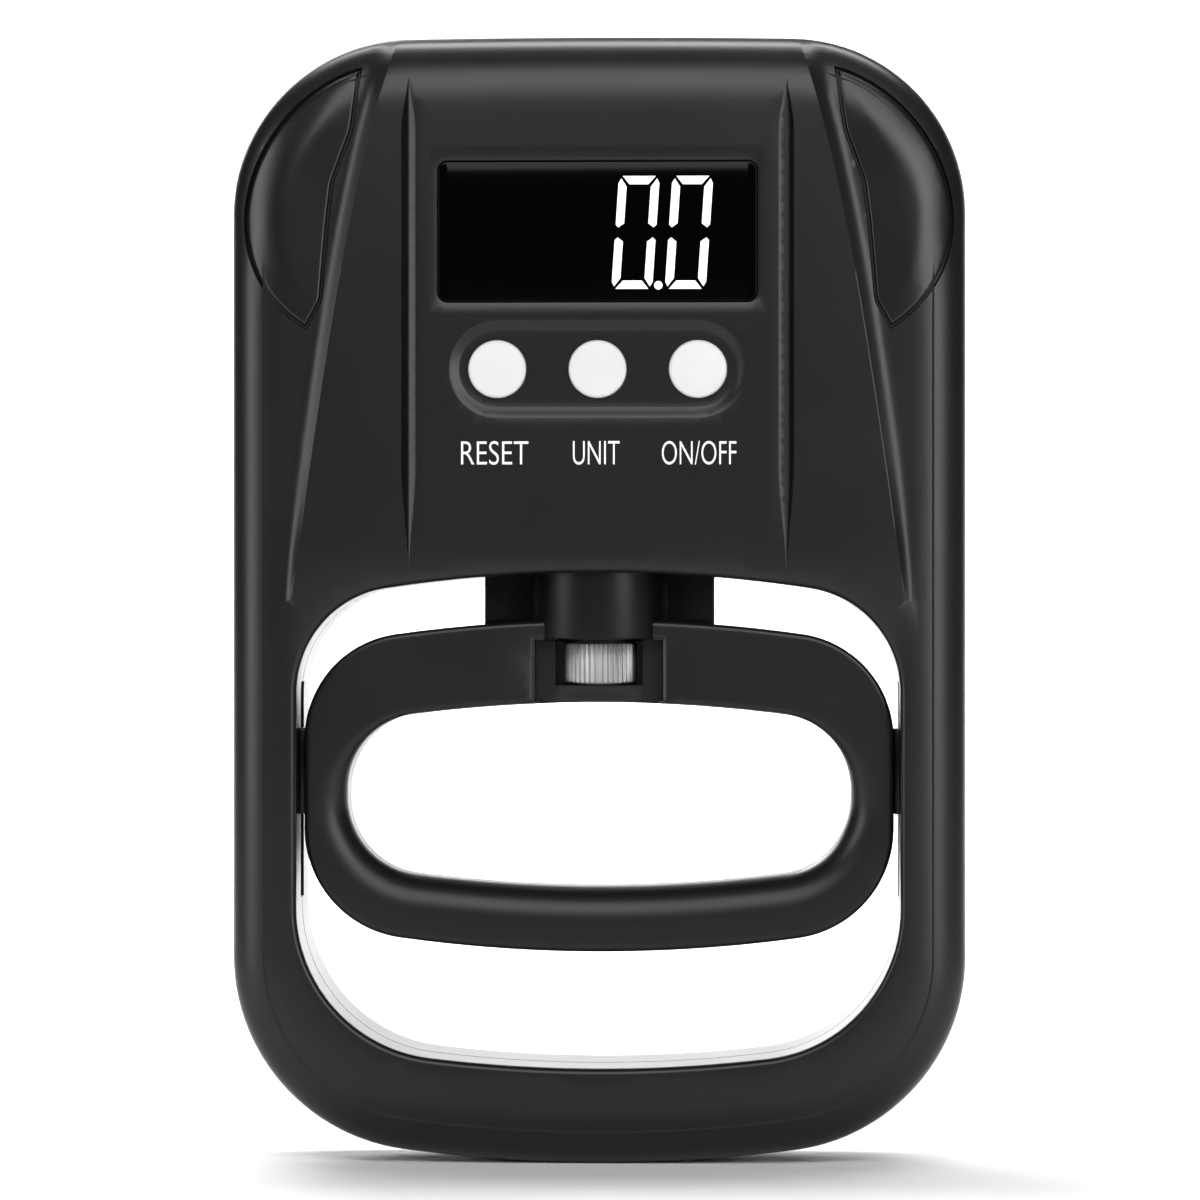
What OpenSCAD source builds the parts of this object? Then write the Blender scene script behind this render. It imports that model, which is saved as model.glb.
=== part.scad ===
// Hand dynamometer: a ring frame with a display head, and a finger handle hung from a load cell.
// X is the width, Y the depth with the display facing -Y, and Z is up.
// The origin lies under the middle of the bottom bar, halfway through the depth.

/* [Frame] */
// Width across the side bars
frame_w = 125; // [124:0.5:127]
// Height of the whole instrument
frame_h = 192; // [191:0.5:194]
// Depth from the display face to the back face
frame_d = 30; // [30:0.5:32]
// Wall thickness of the two casings
casing_wall = 2.4; // [2.2:0.1:2.6]
// Width of the rounded edge, seen from the front
edge_w = 9; // [8:0.5:9.5]
// Depth of the rounded edge, seen from the side
edge_d = 8; // [7:0.5:8.5]

/* [Handle] */
// Depth of the finger handle
handle_d = 16; // [16:0.5:18]
// Wall thickness of the two handle halves
handle_wall = 2.2; // [2:0.1:2.3]
// Radius of the round neck
neck_r = 12.15; // [12:0.05:12.2]
// Half width of the flat wings that keep the neck from turning
wing_x = 19.7; // [19.5:0.1:20]
// Thickness of the wings
wing_t = 6; // [5.5:0.1:6]

/* [Adjuster] */
// Outer radius of the knurled wheel
wheel_r = 6.3; // [6:0.1:6.4]
// Number of ridges on the wheel
wheel_ridges = 42; // [30:2:48]
// Radius of the adjusting screw's thread
screw_r = 3.95; // [3.5:0.05:4]
// Half width of the window in front of the wheel
window_x = 7.45; // [7.2:0.05:7.6]

/* [Display and buttons] */
// Width of the display window
display_w = 54.2; // [53.5:0.1:55.5]
// Height of the display window
display_h = 23.9; // [23.5:0.1:24.5]
// Height of the display's middle above the base
display_z = 158.4; // [158:0.1:159.5]
// Radius of the button caps
button_r = 4.9; // [4.5:0.1:5]
// Distance between neighbouring buttons
button_pitch = 17; // [16.5:0.1:17.5]
// Height of the buttons above the base
button_z = 135.1; // [134.8:0.1:135.7]

/* [Fits] */
// Gap between a sliding or turning piece and its guide
running_gap = 0.07; // [0.05:0.01:0.09]
// Gap around a piece that doesn't move in its seat
seat_gap = 0.05; // [0.02:0.01:0.08]

/* [Hidden] */
$fn = 48;

// A barrel outline has straight sides, bowed ends and round corners:
// [half width, bottom, top, bottom bow radius, top bow radius, bottom corner radius, top corner radius]
FRAME = [frame_w / 2, 0, frame_h, 251, 2000, 33.4, 30];
OPENING = [frame_w / 2 - 11.2, 16.5, 100.7, 240, 240, 25.7, 18];
HANDLE = [OPENING[0] - 1, 36, 92.9, 249, 249, 18.9, 18];
FINGERS = [HANDLE[0] - 7.3, 47, 78.5, 245, 249, 13.2, 12.9];

half_d = frame_d / 2;
inner_y = half_d - casing_wall;
opening_wall = 3.8;
// Hollow of a casing as [from depth, to depth, inset from the outline, wall round the opening]
HOLLOW_STEPS = [
    [0, 7, 2.6, opening_wall],
    [7, 10.5, 4, opening_wall],
    [10.5, inner_y, 7, opening_wall + 1.2]
];
insert_t = 1.4;
insert_depth = 6.5;
overlap = 0.5;
beyond = 1;
corner_steps = 10;
bow_steps = 8;
edge_steps = 4;

// Casing screws and the posts they run in, as [x, z]
CASING_SCREWS = [[46, 176], [50, 108], [27, 9]];
casing_screw_r = 1.5;
casing_head_r = 2.8;
casing_head_y = inner_y - 1.1;
casing_head_t = 2.2;
casing_screw_tip_y = -8;
post_r = 3.4;

// Circuit board and what stands on it
board_front_y = -7.9;
board_t = 1.6;
board_back_y = board_front_y + board_t;
board_x = 33;
board_bottom = 131.2;
board_top = 180.6;
BOARD_SCREWS = [[29.5, 134.5], [30.5, 177.5]];
board_screw_r = 1;
board_screw_tip_y = -11.5;
board_post_r = 2.6;
chip_t = 1.4;
wire_clearance = 0.12;

// Display stack
lens_t = 0.8;
lens_recess = 0.7;
lens_corner_r = 1.6;
lcd_t = 2.4;
lcd_x = display_w / 2 - 0.5;
lcd_z = display_h / 2 - 0.1;
lcd_front_y = -inner_y + 0.1;
lcd_back_y = lcd_front_y + lcd_t;
holder_wall = 2.5;

// Buttons and switches
button_front_y = -half_d + 0.1;
button_floor_y = -half_d + 1.2;
button_flange_r = button_r + 0.9;
button_gap = 0.15;
button_flange_t = 0.9;
button_tray = [48, 14.2, 7];
button_tray_rim = [50.2, 16.3, 8.1];
button_stem_r = 2;
plunger_r = 1.7;
plunger_top_y = -11.45;
switch_top_y = -10.4;
switch_w = 6.2;
switch_well = 1.1;
button_travel = 0.5;

// Load cell, its bracket and the socket that hangs from its free end
cell_bottom = 130.5;
cell_h = 12;
cell_top = cell_bottom + cell_h;
cell_d = 10;
cell_left = -44;
cell_right = 10;
CELL_BOLTS = [-38, -30];
cell_bolt_r = 2;
CELL_HOLES = [-21, -12];
cell_hole_r = 4;
bracket_t = 3;
bracket_wall = 2.4;
bracket_bottom = 115;
bracket_right = -25.5;
BRACKET_SCREWS = [-40, -29.5];
bracket_screw_z = 120;
bracket_screw_r = 1.25;
bracket_back_y = 8;
stud_r = 2.5;
stud_top = cell_top + 6;
washer_t = 0.9;
socket_r = 7.5;
socket_bottom = 99.5;
socket_bore_top = 128;

// Neck, wheel and screw
neck_bottom = 89.3;
neck_top = 122;
neck_floor = 92.4;
wing_top = 118;
foot_inner_x = 13.5;
foot_x = 24;
foot_bottom = 84;
foot_top = 95;
neck_gap = 0.3;
wing_gap = 0.5;
head_bottom = 99;
head_inside = 106;
wheel_bottom = 81.6;
wheel_top = 88.8;
spindle_r = 2.5;
bush_bottom = 79.3;
bush_step = 80.75;
bush_r = 3.6;
bush_flange_r = 4.6;
screw_top = 121;
guide_bottom = 104.7;
guide_top = 112.7;
guide_inner_x = 13.2;
guide_x = 24;
guide_y = 5.4;
shoe_bottom = 59.3;
shoe_top = 74;
shoe_y = 3;
shoe_step = 1;
hook_y = 4;
hook_t = 2.5;
groove_bottom = 45;
groove_top = 82;
groove_x = OPENING[0] + 2.5;

half_handle = handle_d / 2;
handle_inner_y = half_handle - handle_wall;
handle_edge = 3;
panel_x = 11.1;
panel_y = half_handle - 3;
panel_bottom = 77;
window_bottom = 81.4;
wheel_gap = 0.25;
rear_window_x = window_x - 1.9;
HEAD_RIBS = [13, 3.1, 6.5, 79.5];
handle_post_r = 3;
finger_round = 2.4;
HANDLE_SCREWS = [[40.5, 79.3], [41.5, 48.4]];
handle_screw_r = 1.2;
handle_head_r = 2.2;
handle_head_y = half_handle - 2.2;
handle_screw_tip_y = -5.5;
far_y = half_handle + 2;

// Batteries and their tub in the rear casing
battery_r = 5.25;
battery_l = 44.5;
nub_r = 1.9;
nub_l = 0.8;
battery_y = 7.45;
UPPER_Z = 170.6;
LOWER_Z = 159.4;
tub_x = 26;
tub_bottom = 153.4;
tub_top = 176.6;
tub_floor_y = 2;
tub_wall = 1.2;
contact_x = 25.4;
contact_t = 0.4;
contact_half = 4;
tab_y = 4;
tab_half = 1.5;
door_t = 1.8;
door_x = 27.9;
door_bottom = 151.4;
door_hinge_z = 178;
door_gap = 0.2;
door_pin_r = 0.5;
door_pin_l = 1.3;

casing_colour = "#1c1c1e";
handle_colour = "#222224";
steel_colour = "#b8babd";
board_colour = "#1f5c3a";

function arc(x, z, r, a0, a1, n, skip) =
    [for (i = [skip:n - skip]) [x + r * cos(a0 + (a1 - a0) * i / n), z + r * sin(a0 + (a1 - a0) * i / n)]];

// A barrel outline moved outwards by d all round
function grown(b, d) = [b[0] + d, b[1] - d, b[2] + d, b[3] + d, b[4] + d, b[5] + d, b[6] + d];

function low_centre(b) = b[1] + b[3] - sqrt(pow(b[3] - b[5], 2) - pow(b[0] - b[5], 2));
function high_centre(b) = b[2] - b[4] + sqrt(pow(b[4] - b[6], 2) - pow(b[0] - b[6], 2));
function low_angle(b) = atan2(low_centre(b) - b[1] - b[3], b[0] - b[5]);
function high_angle(b) = atan2(high_centre(b) - b[2] + b[4], b[0] - b[6]);

function barrel_points(b) = concat(
    arc(0, b[1] + b[3], b[3], -180 - low_angle(b), low_angle(b), bow_steps, 1),
    arc(b[0] - b[5], low_centre(b), b[5], low_angle(b), 0, corner_steps, 0),
    arc(b[0] - b[6], high_centre(b), b[6], 0, high_angle(b), corner_steps, 0),
    arc(0, b[2] - b[4], b[4], high_angle(b), 180 - high_angle(b), bow_steps, 1),
    arc(b[6] - b[0], high_centre(b), b[6], 180 - high_angle(b), 180, corner_steps, 0),
    arc(b[5] - b[0], low_centre(b), b[5], 180, 180 - low_angle(b), corner_steps, 0)
);

function bezier(p0, p1, p2, p3, t) =
    pow(1 - t, 3) * p0 + 3 * pow(1 - t, 2) * t * p1 + 3 * (1 - t) * t * t * p2 + t * t * t * p3;

// Leaf outline of the left shoulder insert: a bowed outer edge and a kinked inner edge
LEAF_TOP = [-40.3, 186.4];
LEAF_FOOT = [-49.6, 142.1];
LEAF_KNEES = [[-47, 146.7], [-45.8, 160.4], [-45, 166.9], [-41.7, 175.8]];
LEAF_MIDDLE = [-51.5, 164];
leaf_steps = 14;
LEAF = concat(
    [for (i = [0:leaf_steps]) bezier(LEAF_TOP, [-59.2, 180.8], [-69, 154.2], LEAF_FOOT, i / leaf_steps)],
    LEAF_KNEES
);
leaf_shrink = 0.98;

// Solid between two depths with its outline in the XZ plane
module slab(y0, y1) {
    rotate([90, 0, 0])
    translate([0, 0, -y1])
    linear_extrude(y1 - y0)
    children();
}

module barrel(b) {
    polygon(barrel_points(b));
}

module block(x0, x1, y0, y1, z0, z1) {
    translate([x0, y0, z0])
    cube([x1 - x0, y1 - y0, z1 - z0]);
}

// Round bar along Y
module bar_y(x, z, r, y0, y1) {
    translate([x, y1, z])
    rotate([90, 0, 0])
    cylinder(h = y1 - y0, r = r);
}

// Round bar along Z
module bar_z(x, y, r, z0, z1) {
    translate([x, y, z0])
    cylinder(h = z1 - z0, r = r);
}

module both_sides() {
    children();
    mirror([1, 0, 0])
    children();
}

// Solid through a row of barrel outlines, each given as [depth, outline] from the front to the back
module lofted(rings) {
    outlines = [for (ring = rings) barrel_points(ring[1])];
    n = len(outlines[0]);
    last = len(rings) - 1;
    points = [for (i = [0:last], p = outlines[i]) [p[0], rings[i][0], p[1]]];
    walls = [for (i = [0:last - 1], j = [0:n - 1], upper = [false, true])
        upper
            ? [i * n + j, (i + 1) * n + (j + 1) % n, (i + 1) * n + j]
            : [i * n + j, i * n + (j + 1) % n, (i + 1) * n + (j + 1) % n]];
    front = [for (j = [n - 1:-1:0]) j];
    back = [for (j = [0:n - 1]) last * n + j];
    polyhedron(points, concat([front], walls, [back]));
}

// Front half (side -1) or rear half (side 1) of a form whose outer edge is an elliptical round
module rounded_half(b, depth, width, deep, inset, side) {
    angles = [for (step = [0:edge_steps]) 90 * step / edge_steps];
    far = [for (a = angles)
        [depth / 2 - inset - deep * (1 - sin(a)), grown(b, -inset - width * (1 - cos(a)))]];
    profile = concat([[0, grown(b, -inset)]], far);
    count = len(profile);
    lofted([for (i = [0:count - 1])
        let (ring = profile[side < 0 ? count - 1 - i : i])
        [side * ring[0], ring[1]]]);
}

module frame_half(inset, side) {
    rounded_half(FRAME, frame_d, edge_w, edge_d, inset, side);
}

// Hollow of one casing, stepped so that the wall stays even round the edge; side is -1 or 1
module casing_hollow(side) {
    for (s = HOLLOW_STEPS)
    slab(min(side * s[0], side * s[1]), max(side * s[0], side * s[1]))
    difference() {
        barrel(grown(FRAME, -s[2]));
        barrel(grown(OPENING, s[3]));
    }
}

module leaf_prism(side, scale_by) {
    outline = [for (p = LEAF) LEAF_MIDDLE + scale_by * (p - LEAF_MIDDLE)];
    slab(-half_d - beyond, -half_d + insert_depth)
    polygon([for (p = outline) [-side * p[0], p[1]]]);
}

// Everything the casings leave open for the neck, the guide shoes and the hand
module frame_cuts() {
    slab(-half_d - beyond, half_d + beyond)
    barrel(OPENING);
    bar_z(0, 0, neck_r + neck_gap, head_bottom, head_inside);
    block(-wing_x - wing_gap, wing_x + wing_gap, -wing_t / 2 - wing_gap, wing_t / 2 + wing_gap,
        head_bottom, head_inside);
    both_sides()
    block(OPENING[0] - beyond, groove_x, -shoe_y - running_gap, shoe_y + running_gap,
        groove_bottom, groove_top);
}

// Upright rectangle with round corners, centred
module rounded_rect(w, h, r) {
    polygon(concat(
        arc(w / 2 - r, r - h / 2, r, -90, 0, corner_steps, 0),
        arc(w / 2 - r, h / 2 - r, r, 0, 90, corner_steps, 0),
        arc(r - w / 2, h / 2 - r, r, 90, 180, corner_steps, 0),
        arc(r - w / 2, r - h / 2, r, 180, 270, corner_steps, 0)
    ));
}

module front_casing() {
    color(casing_colour)
    difference() {
        union() {
            difference() {
                frame_half(0, -1);
                casing_hollow(-1);
            }
            both_sides() {
                for (p = CASING_SCREWS)
                bar_y(p[0], p[1], post_r, -inner_y - overlap, 0);
                for (p = BOARD_SCREWS)
                bar_y(p[0], p[1], board_post_r, -inner_y - overlap, board_front_y);
                block(guide_inner_x + 0.8, guide_x, -inner_y - overlap, -guide_y - 0.1,
                    guide_bottom, guide_top);
            }
        }
        frame_cuts();
        difference() {
            for (side = [-1, 1])
            leaf_prism(side, 1);
            frame_half(insert_t, -1);
        }
        both_sides() {
            for (p = CASING_SCREWS)
            bar_y(p[0], p[1], casing_screw_r + seat_gap, casing_screw_tip_y - 0.5, beyond);
            for (p = BOARD_SCREWS)
            bar_y(p[0], p[1], board_screw_r + seat_gap, board_screw_tip_y - 0.5,
                board_front_y + beyond);
        }
        translate([0, 0, display_z]) {
            slab(-half_d - beyond, -half_d + lens_recess + lens_t)
            rounded_rect(display_w, display_h, lens_corner_r + 0.1);
            slab(-half_d - beyond, 0)
            square([display_w - 4, display_h - 3], center = true);
        }
        translate([0, 0, button_z]) {
            slab(-half_d - beyond, button_floor_y)
            rounded_rect(button_tray[0], button_tray[1], button_tray[2]);
            slab(-half_d - beyond, -half_d + 0.5)
            rounded_rect(button_tray_rim[0], button_tray_rim[1], button_tray_rim[2]);
        }
        for (i = [-1, 0, 1])
        bar_y(i * button_pitch, button_z, button_r + button_gap, -half_d - beyond, 1 - inner_y);
    }
}

module rear_casing() {
    color(casing_colour)
    difference() {
        union() {
            difference() {
                frame_half(0, 1);
                casing_hollow(1);
            }
            both_sides() {
                for (p = CASING_SCREWS)
                bar_y(p[0], p[1], post_r, 0, inner_y + overlap);
                block(guide_inner_x + 0.8, guide_x, guide_y + 0.1, inner_y + overlap,
                    guide_bottom, guide_top);
            }
            for (x = BRACKET_SCREWS)
            bar_y(x, bracket_screw_z, bracket_t, bracket_back_y, inner_y + overlap);
            block(-tub_x - tub_wall, tub_x + tub_wall, tub_floor_y - tub_wall, inner_y + overlap,
                tub_bottom - tub_wall, tub_top + tub_wall);
        }
        frame_cuts();
        block(-tub_x, tub_x, tub_floor_y, half_d + beyond, tub_bottom, tub_top);
        block(-door_x - door_gap, door_x + door_gap, half_d - door_t - seat_gap, half_d + beyond,
            door_bottom - door_gap, door_hinge_z + door_t / 2 + door_gap);
        translate([-door_x - door_pin_l - 0.3, half_d - door_t / 2, door_hinge_z])
        rotate([0, 90, 0])
        cylinder(h = 2 * (door_x + door_pin_l + 0.3), r = door_pin_r + running_gap);
        for (z = [UPPER_Z, LOWER_Z])
        block(-tub_x - 2, -tub_x + beyond, tab_y - 0.1, tab_y + 2.1, z - tab_half - 0.1, z + tab_half + 0.1);
        for (x = BRACKET_SCREWS)
        bar_y(x, bracket_screw_z, bracket_screw_r + seat_gap, bracket_back_y - beyond, bracket_back_y + 4);
        both_sides()
        for (p = CASING_SCREWS) {
            bar_y(p[0], p[1], casing_screw_r + 0.1, -beyond, half_d + beyond);
            bar_y(p[0], p[1], casing_head_r + 0.3, casing_head_y, half_d + beyond);
        }
    }
}

module shoulder_insert(side) {
    color("#161618")
    difference() {
        intersection() {
            frame_half(0, -1);
            leaf_prism(side, leaf_shrink);
        }
        frame_half(insert_t - 0.02, -1);
    }
}

module display_lens() {
    color("#050506")
    translate([0, 0, display_z])
    slab(-half_d + lens_recess, -half_d + lens_recess + lens_t - 0.02)
    rounded_rect(display_w - 0.2, display_h - 0.2, lens_corner_r);
}

module lcd_panel() {
    color("#0b0f14")
    translate([0, 0, display_z])
    slab(lcd_front_y, lcd_back_y)
    square([2 * lcd_x, 2 * lcd_z], center = true);
}

module lcd_backlight() {
    color("#e8ecf2")
    block(-lcd_x, lcd_x, lcd_back_y + 0.1, board_front_y - 0.1, display_z - lcd_z + 3, display_z + lcd_z);
}

module lcd_holder() {
    color("#d8d8d4")
    translate([0, 0, display_z])
    slab(lcd_front_y, board_front_y - seat_gap)
    difference() {
        square([2 * (lcd_x + holder_wall), 2 * (lcd_z + holder_wall)], center = true);
        square([2 * lcd_x + 0.3, 2 * lcd_z + 0.3], center = true);
    }
}

module zebra_strip() {
    color("#e9a6b0")
    block(-lcd_x + 1, lcd_x - 1, lcd_back_y, board_front_y, display_z - lcd_z + 0.3, display_z - lcd_z + 2.6);
}

module main_board() {
    color(board_colour)
    difference() {
        block(-board_x, board_x, board_front_y, board_back_y, board_bottom, board_top);
        both_sides()
        for (p = BOARD_SCREWS)
        bar_y(p[0], p[1], board_screw_r + 0.1, board_front_y - beyond, board_back_y + beyond);
    }
}

module processor_chip() {
    color("#151517")
    block(6, 16, board_back_y, board_back_y + chip_t, 156, 166);
}

module amplifier_chip() {
    color("#151517")
    block(-14, -8, board_back_y, board_back_y + chip_t, 146, 150);
}

// Screw along Y with its head towards +Y and a cross recess in it
module screw_y(x, z, r, tip_y, seat_y, head_r, head_t) {
    difference() {
        union() {
            bar_y(x, z, r, tip_y, seat_y);
            bar_y(x, z, head_r, seat_y, seat_y + head_t);
        }
        for (turn = [0, 90])
        translate([x, seat_y + head_t, z])
        rotate([0, turn, 0])
        cube([1.2 * head_r, head_t, 0.3 * head_r], center = true);
    }
}

module board_screws() {
    color(steel_colour)
    both_sides()
    for (p = BOARD_SCREWS)
    screw_y(p[0], p[1], board_screw_r, board_screw_tip_y, board_back_y, 2, 1);
}

module tact_switch(i) {
    color("#2b2b2e")
    difference() {
        block(i * button_pitch - switch_w / 2, i * button_pitch + switch_w / 2,
            switch_top_y, board_front_y, button_z - switch_w / 2, button_z + switch_w / 2);
        bar_y(i * button_pitch, button_z, plunger_r + running_gap,
            switch_top_y - beyond, switch_top_y + switch_well);
    }
}

module switch_plunger(i) {
    color("#3a3a3e")
    bar_y(i * button_pitch, button_z, plunger_r, plunger_top_y,
        switch_top_y + switch_well - button_travel - seat_gap);
}

module button_cap(i) {
    color("#dedfdd")
    union() {
        bar_y(i * button_pitch, button_z, button_r, button_front_y, lcd_front_y);
        bar_y(i * button_pitch, button_z, button_flange_r, lcd_front_y, lcd_front_y + button_flange_t);
        bar_y(i * button_pitch, button_z, button_stem_r, lcd_front_y, plunger_top_y);
    }
}

// Bending bar with the two joined holes that make its thin flexing walls
module load_cell() {
    color("#c9ccd0")
    difference() {
        block(cell_left, cell_right, -cell_d / 2, cell_d / 2, cell_bottom, cell_top);
        for (x = CELL_HOLES)
        bar_y(x, cell_bottom + cell_h / 2, cell_hole_r, -cell_d, cell_d);
        block(CELL_HOLES[0], CELL_HOLES[1], -cell_d, cell_d,
            cell_bottom + cell_h / 2 - 1.5, cell_bottom + cell_h / 2 + 1.5);
        bar_z(0, 0, stud_r + seat_gap, cell_bottom - beyond, cell_top + beyond);
        for (x = CELL_BOLTS)
        bar_z(x, 0, cell_bolt_r + seat_gap, cell_bottom - beyond, cell_bottom + 9);
    }
}

module strain_gauge_cover() {
    color("#eceae2")
    block(-24, -9, -3.5, 3.5, cell_top, cell_top + 1.2);
}

module load_cell_bracket() {
    color(steel_colour)
    difference() {
        union() {
            block(cell_left, bracket_right, -cell_d / 2, bracket_back_y,
                cell_bottom - bracket_t, cell_bottom);
            block(cell_left, bracket_right, bracket_back_y - bracket_wall, bracket_back_y,
                bracket_bottom, cell_bottom);
        }
        for (x = CELL_BOLTS)
        bar_z(x, 0, cell_bolt_r + 0.2, cell_bottom - bracket_t - beyond, cell_bottom + beyond);
        for (x = BRACKET_SCREWS)
        bar_y(x, bracket_screw_z, bracket_screw_r + 0.15, 0, bracket_back_y + beyond);
    }
}

module load_cell_bolts() {
    color(steel_colour)
    for (x = CELL_BOLTS)
    difference() {
        union() {
            bar_z(x, 0, cell_bolt_r, cell_bottom - bracket_t, cell_bottom + 8.5);
            bar_z(x, 0, 3.5, cell_bottom - bracket_t - 3.4, cell_bottom - bracket_t);
        }
        translate([x, 0, cell_bottom - bracket_t - 4])
        cylinder(h = 2.4, r = 1.7, $fn = 6);
    }
}

module bracket_screws() {
    color(steel_colour)
    for (x = BRACKET_SCREWS)
    mirror([0, 1, 0])
    screw_y(x, bracket_screw_z, bracket_screw_r, -11.5, bracket_wall - bracket_back_y, 2.6, 1.8);
}

// Smooth wire from one point to another, pulled towards two handles on the way
module wire(p0, p1, p2, p3, r) {
    rings = 12;
    sides = 8;
    path = [for (i = [0:rings]) bezier(p0, p1, p2, p3, i / rings)];
    tangents = [for (i = [0:rings]) path[min(i + 1, rings)] - path[max(i - 1, 0)]];
    points = [for (i = [0:rings]) let (
            t = tangents[i] / norm(tangents[i]),
            u = cross(t, [1, 0, 0]) / norm(cross(t, [1, 0, 0])),
            v = cross(t, u)
        ) for (j = [0:sides - 1]) path[i] + r * (cos(360 * j / sides) * u + sin(360 * j / sides) * v)];
    walls = [for (i = [0:rings - 1], j = [0:sides - 1])
        [i * sides + j, i * sides + (j + 1) % sides, (i + 1) * sides + (j + 1) % sides, (i + 1) * sides + j]];
    ends = [[for (j = [sides - 1:-1:0]) j], [for (j = [0:sides - 1]) rings * sides + j]];
    polyhedron(points, concat(walls, ends));
}

module load_cell_wires() {
    color("#c8402f")
    for (i = [0:3])
    wire([-22 + 2.2 * i, -1, cell_top + 1.75], [-22 + 2.2 * i, -2, cell_top + 4],
        [-26 + 2 * i, -2.5, 148.5], [-26 + 2 * i, board_back_y + wire_clearance, 148.5], 0.5);
}

module load_socket() {
    color(steel_colour)
    difference() {
        union() {
            bar_z(0, 0, socket_r, socket_bottom, cell_bottom);
            bar_z(0, 0, stud_r, cell_bottom, stud_top);
        }
        bar_z(0, 0, screw_r + running_gap, socket_bottom - beyond, socket_bore_top);
    }
}

module socket_washer() {
    color(steel_colour)
    difference() {
        bar_z(0, 0, 4.9, cell_top, cell_top + washer_t);
        bar_z(0, 0, stud_r + seat_gap, cell_top - beyond, stud_top);
    }
}

module socket_nut() {
    color(steel_colour)
    difference() {
        translate([0, 0, cell_top + washer_t])
        cylinder(h = 4, r = 4.6, $fn = 6);
        bar_z(0, 0, stud_r + seat_gap, cell_top, stud_top);
    }
}

module neck_guide(side) {
    color("#e4e2da")
    difference() {
        block(min(side * guide_inner_x, side * guide_x), max(side * guide_inner_x, side * guide_x),
            -guide_y, guide_y, guide_bottom, guide_top);
        block(-wing_x - running_gap, wing_x + running_gap, -wing_t / 2 - running_gap, wing_t / 2 + running_gap,
            guide_bottom - beyond, guide_top + beyond);
    }
}

module adjusting_screw() {
    color(steel_colour)
    union() {
        bar_z(0, 0, spindle_r, wheel_bottom - 2, wheel_top);
        bar_z(0, 0, screw_r, wheel_top, screw_top);
    }
}

module adjusting_wheel() {
    color("#d9dadc")
    difference() {
        translate([0, 0, wheel_bottom])
        linear_extrude(wheel_top - wheel_bottom)
        polygon([for (i = [0:2 * wheel_ridges - 1])
            (wheel_r - 0.35 * (i % 2)) * [cos(180 * i / wheel_ridges), sin(180 * i / wheel_ridges)]]);
        bar_z(0, 0, spindle_r + 0.02, wheel_bottom - beyond, wheel_top + beyond);
    }
}

module thrust_washer() {
    color("#b08d3c")
    difference() {
        bar_z(0, 0, 5.8, wheel_top, neck_bottom);
        bar_z(0, 0, screw_r + running_gap, wheel_top - beyond, neck_bottom + beyond);
    }
}

module wheel_bush() {
    color("#b08d3c")
    difference() {
        union() {
            bar_z(0, 0, bush_flange_r, bush_step, wheel_bottom - 0.05);
            bar_z(0, 0, bush_r, bush_bottom, bush_step);
        }
        bar_z(0, 0, spindle_r + running_gap, bush_bottom - beyond, wheel_bottom + beyond);
    }
}

// Round neck with wings that stop it turning, and a foot that the handle halves trap
module handle_neck() {
    color("#141416")
    difference() {
        union() {
            bar_z(0, 0, neck_r, neck_bottom, neck_top);
            block(-wing_x, wing_x, -wing_t / 2, wing_t / 2, foot_bottom, wing_top);
            intersection() {
                slab(-handle_inner_y + 0.1, handle_inner_y - 0.1)
                barrel(grown(HANDLE, -handle_wall - 0.1));
                for (side = [-1, 1])
                block(min(side * foot_inner_x, side * foot_x), max(side * foot_inner_x, side * foot_x),
                    -half_handle, half_handle, foot_bottom, foot_top);
            }
        }
        bar_z(0, 0, wheel_r + 1.8, foot_bottom - beyond, neck_bottom);
        bar_z(0, 0, screw_r + running_gap, neck_bottom - beyond, neck_floor + beyond);
        bar_z(0, 0, socket_r + running_gap, neck_floor, neck_top + beyond);
    }
}

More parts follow.
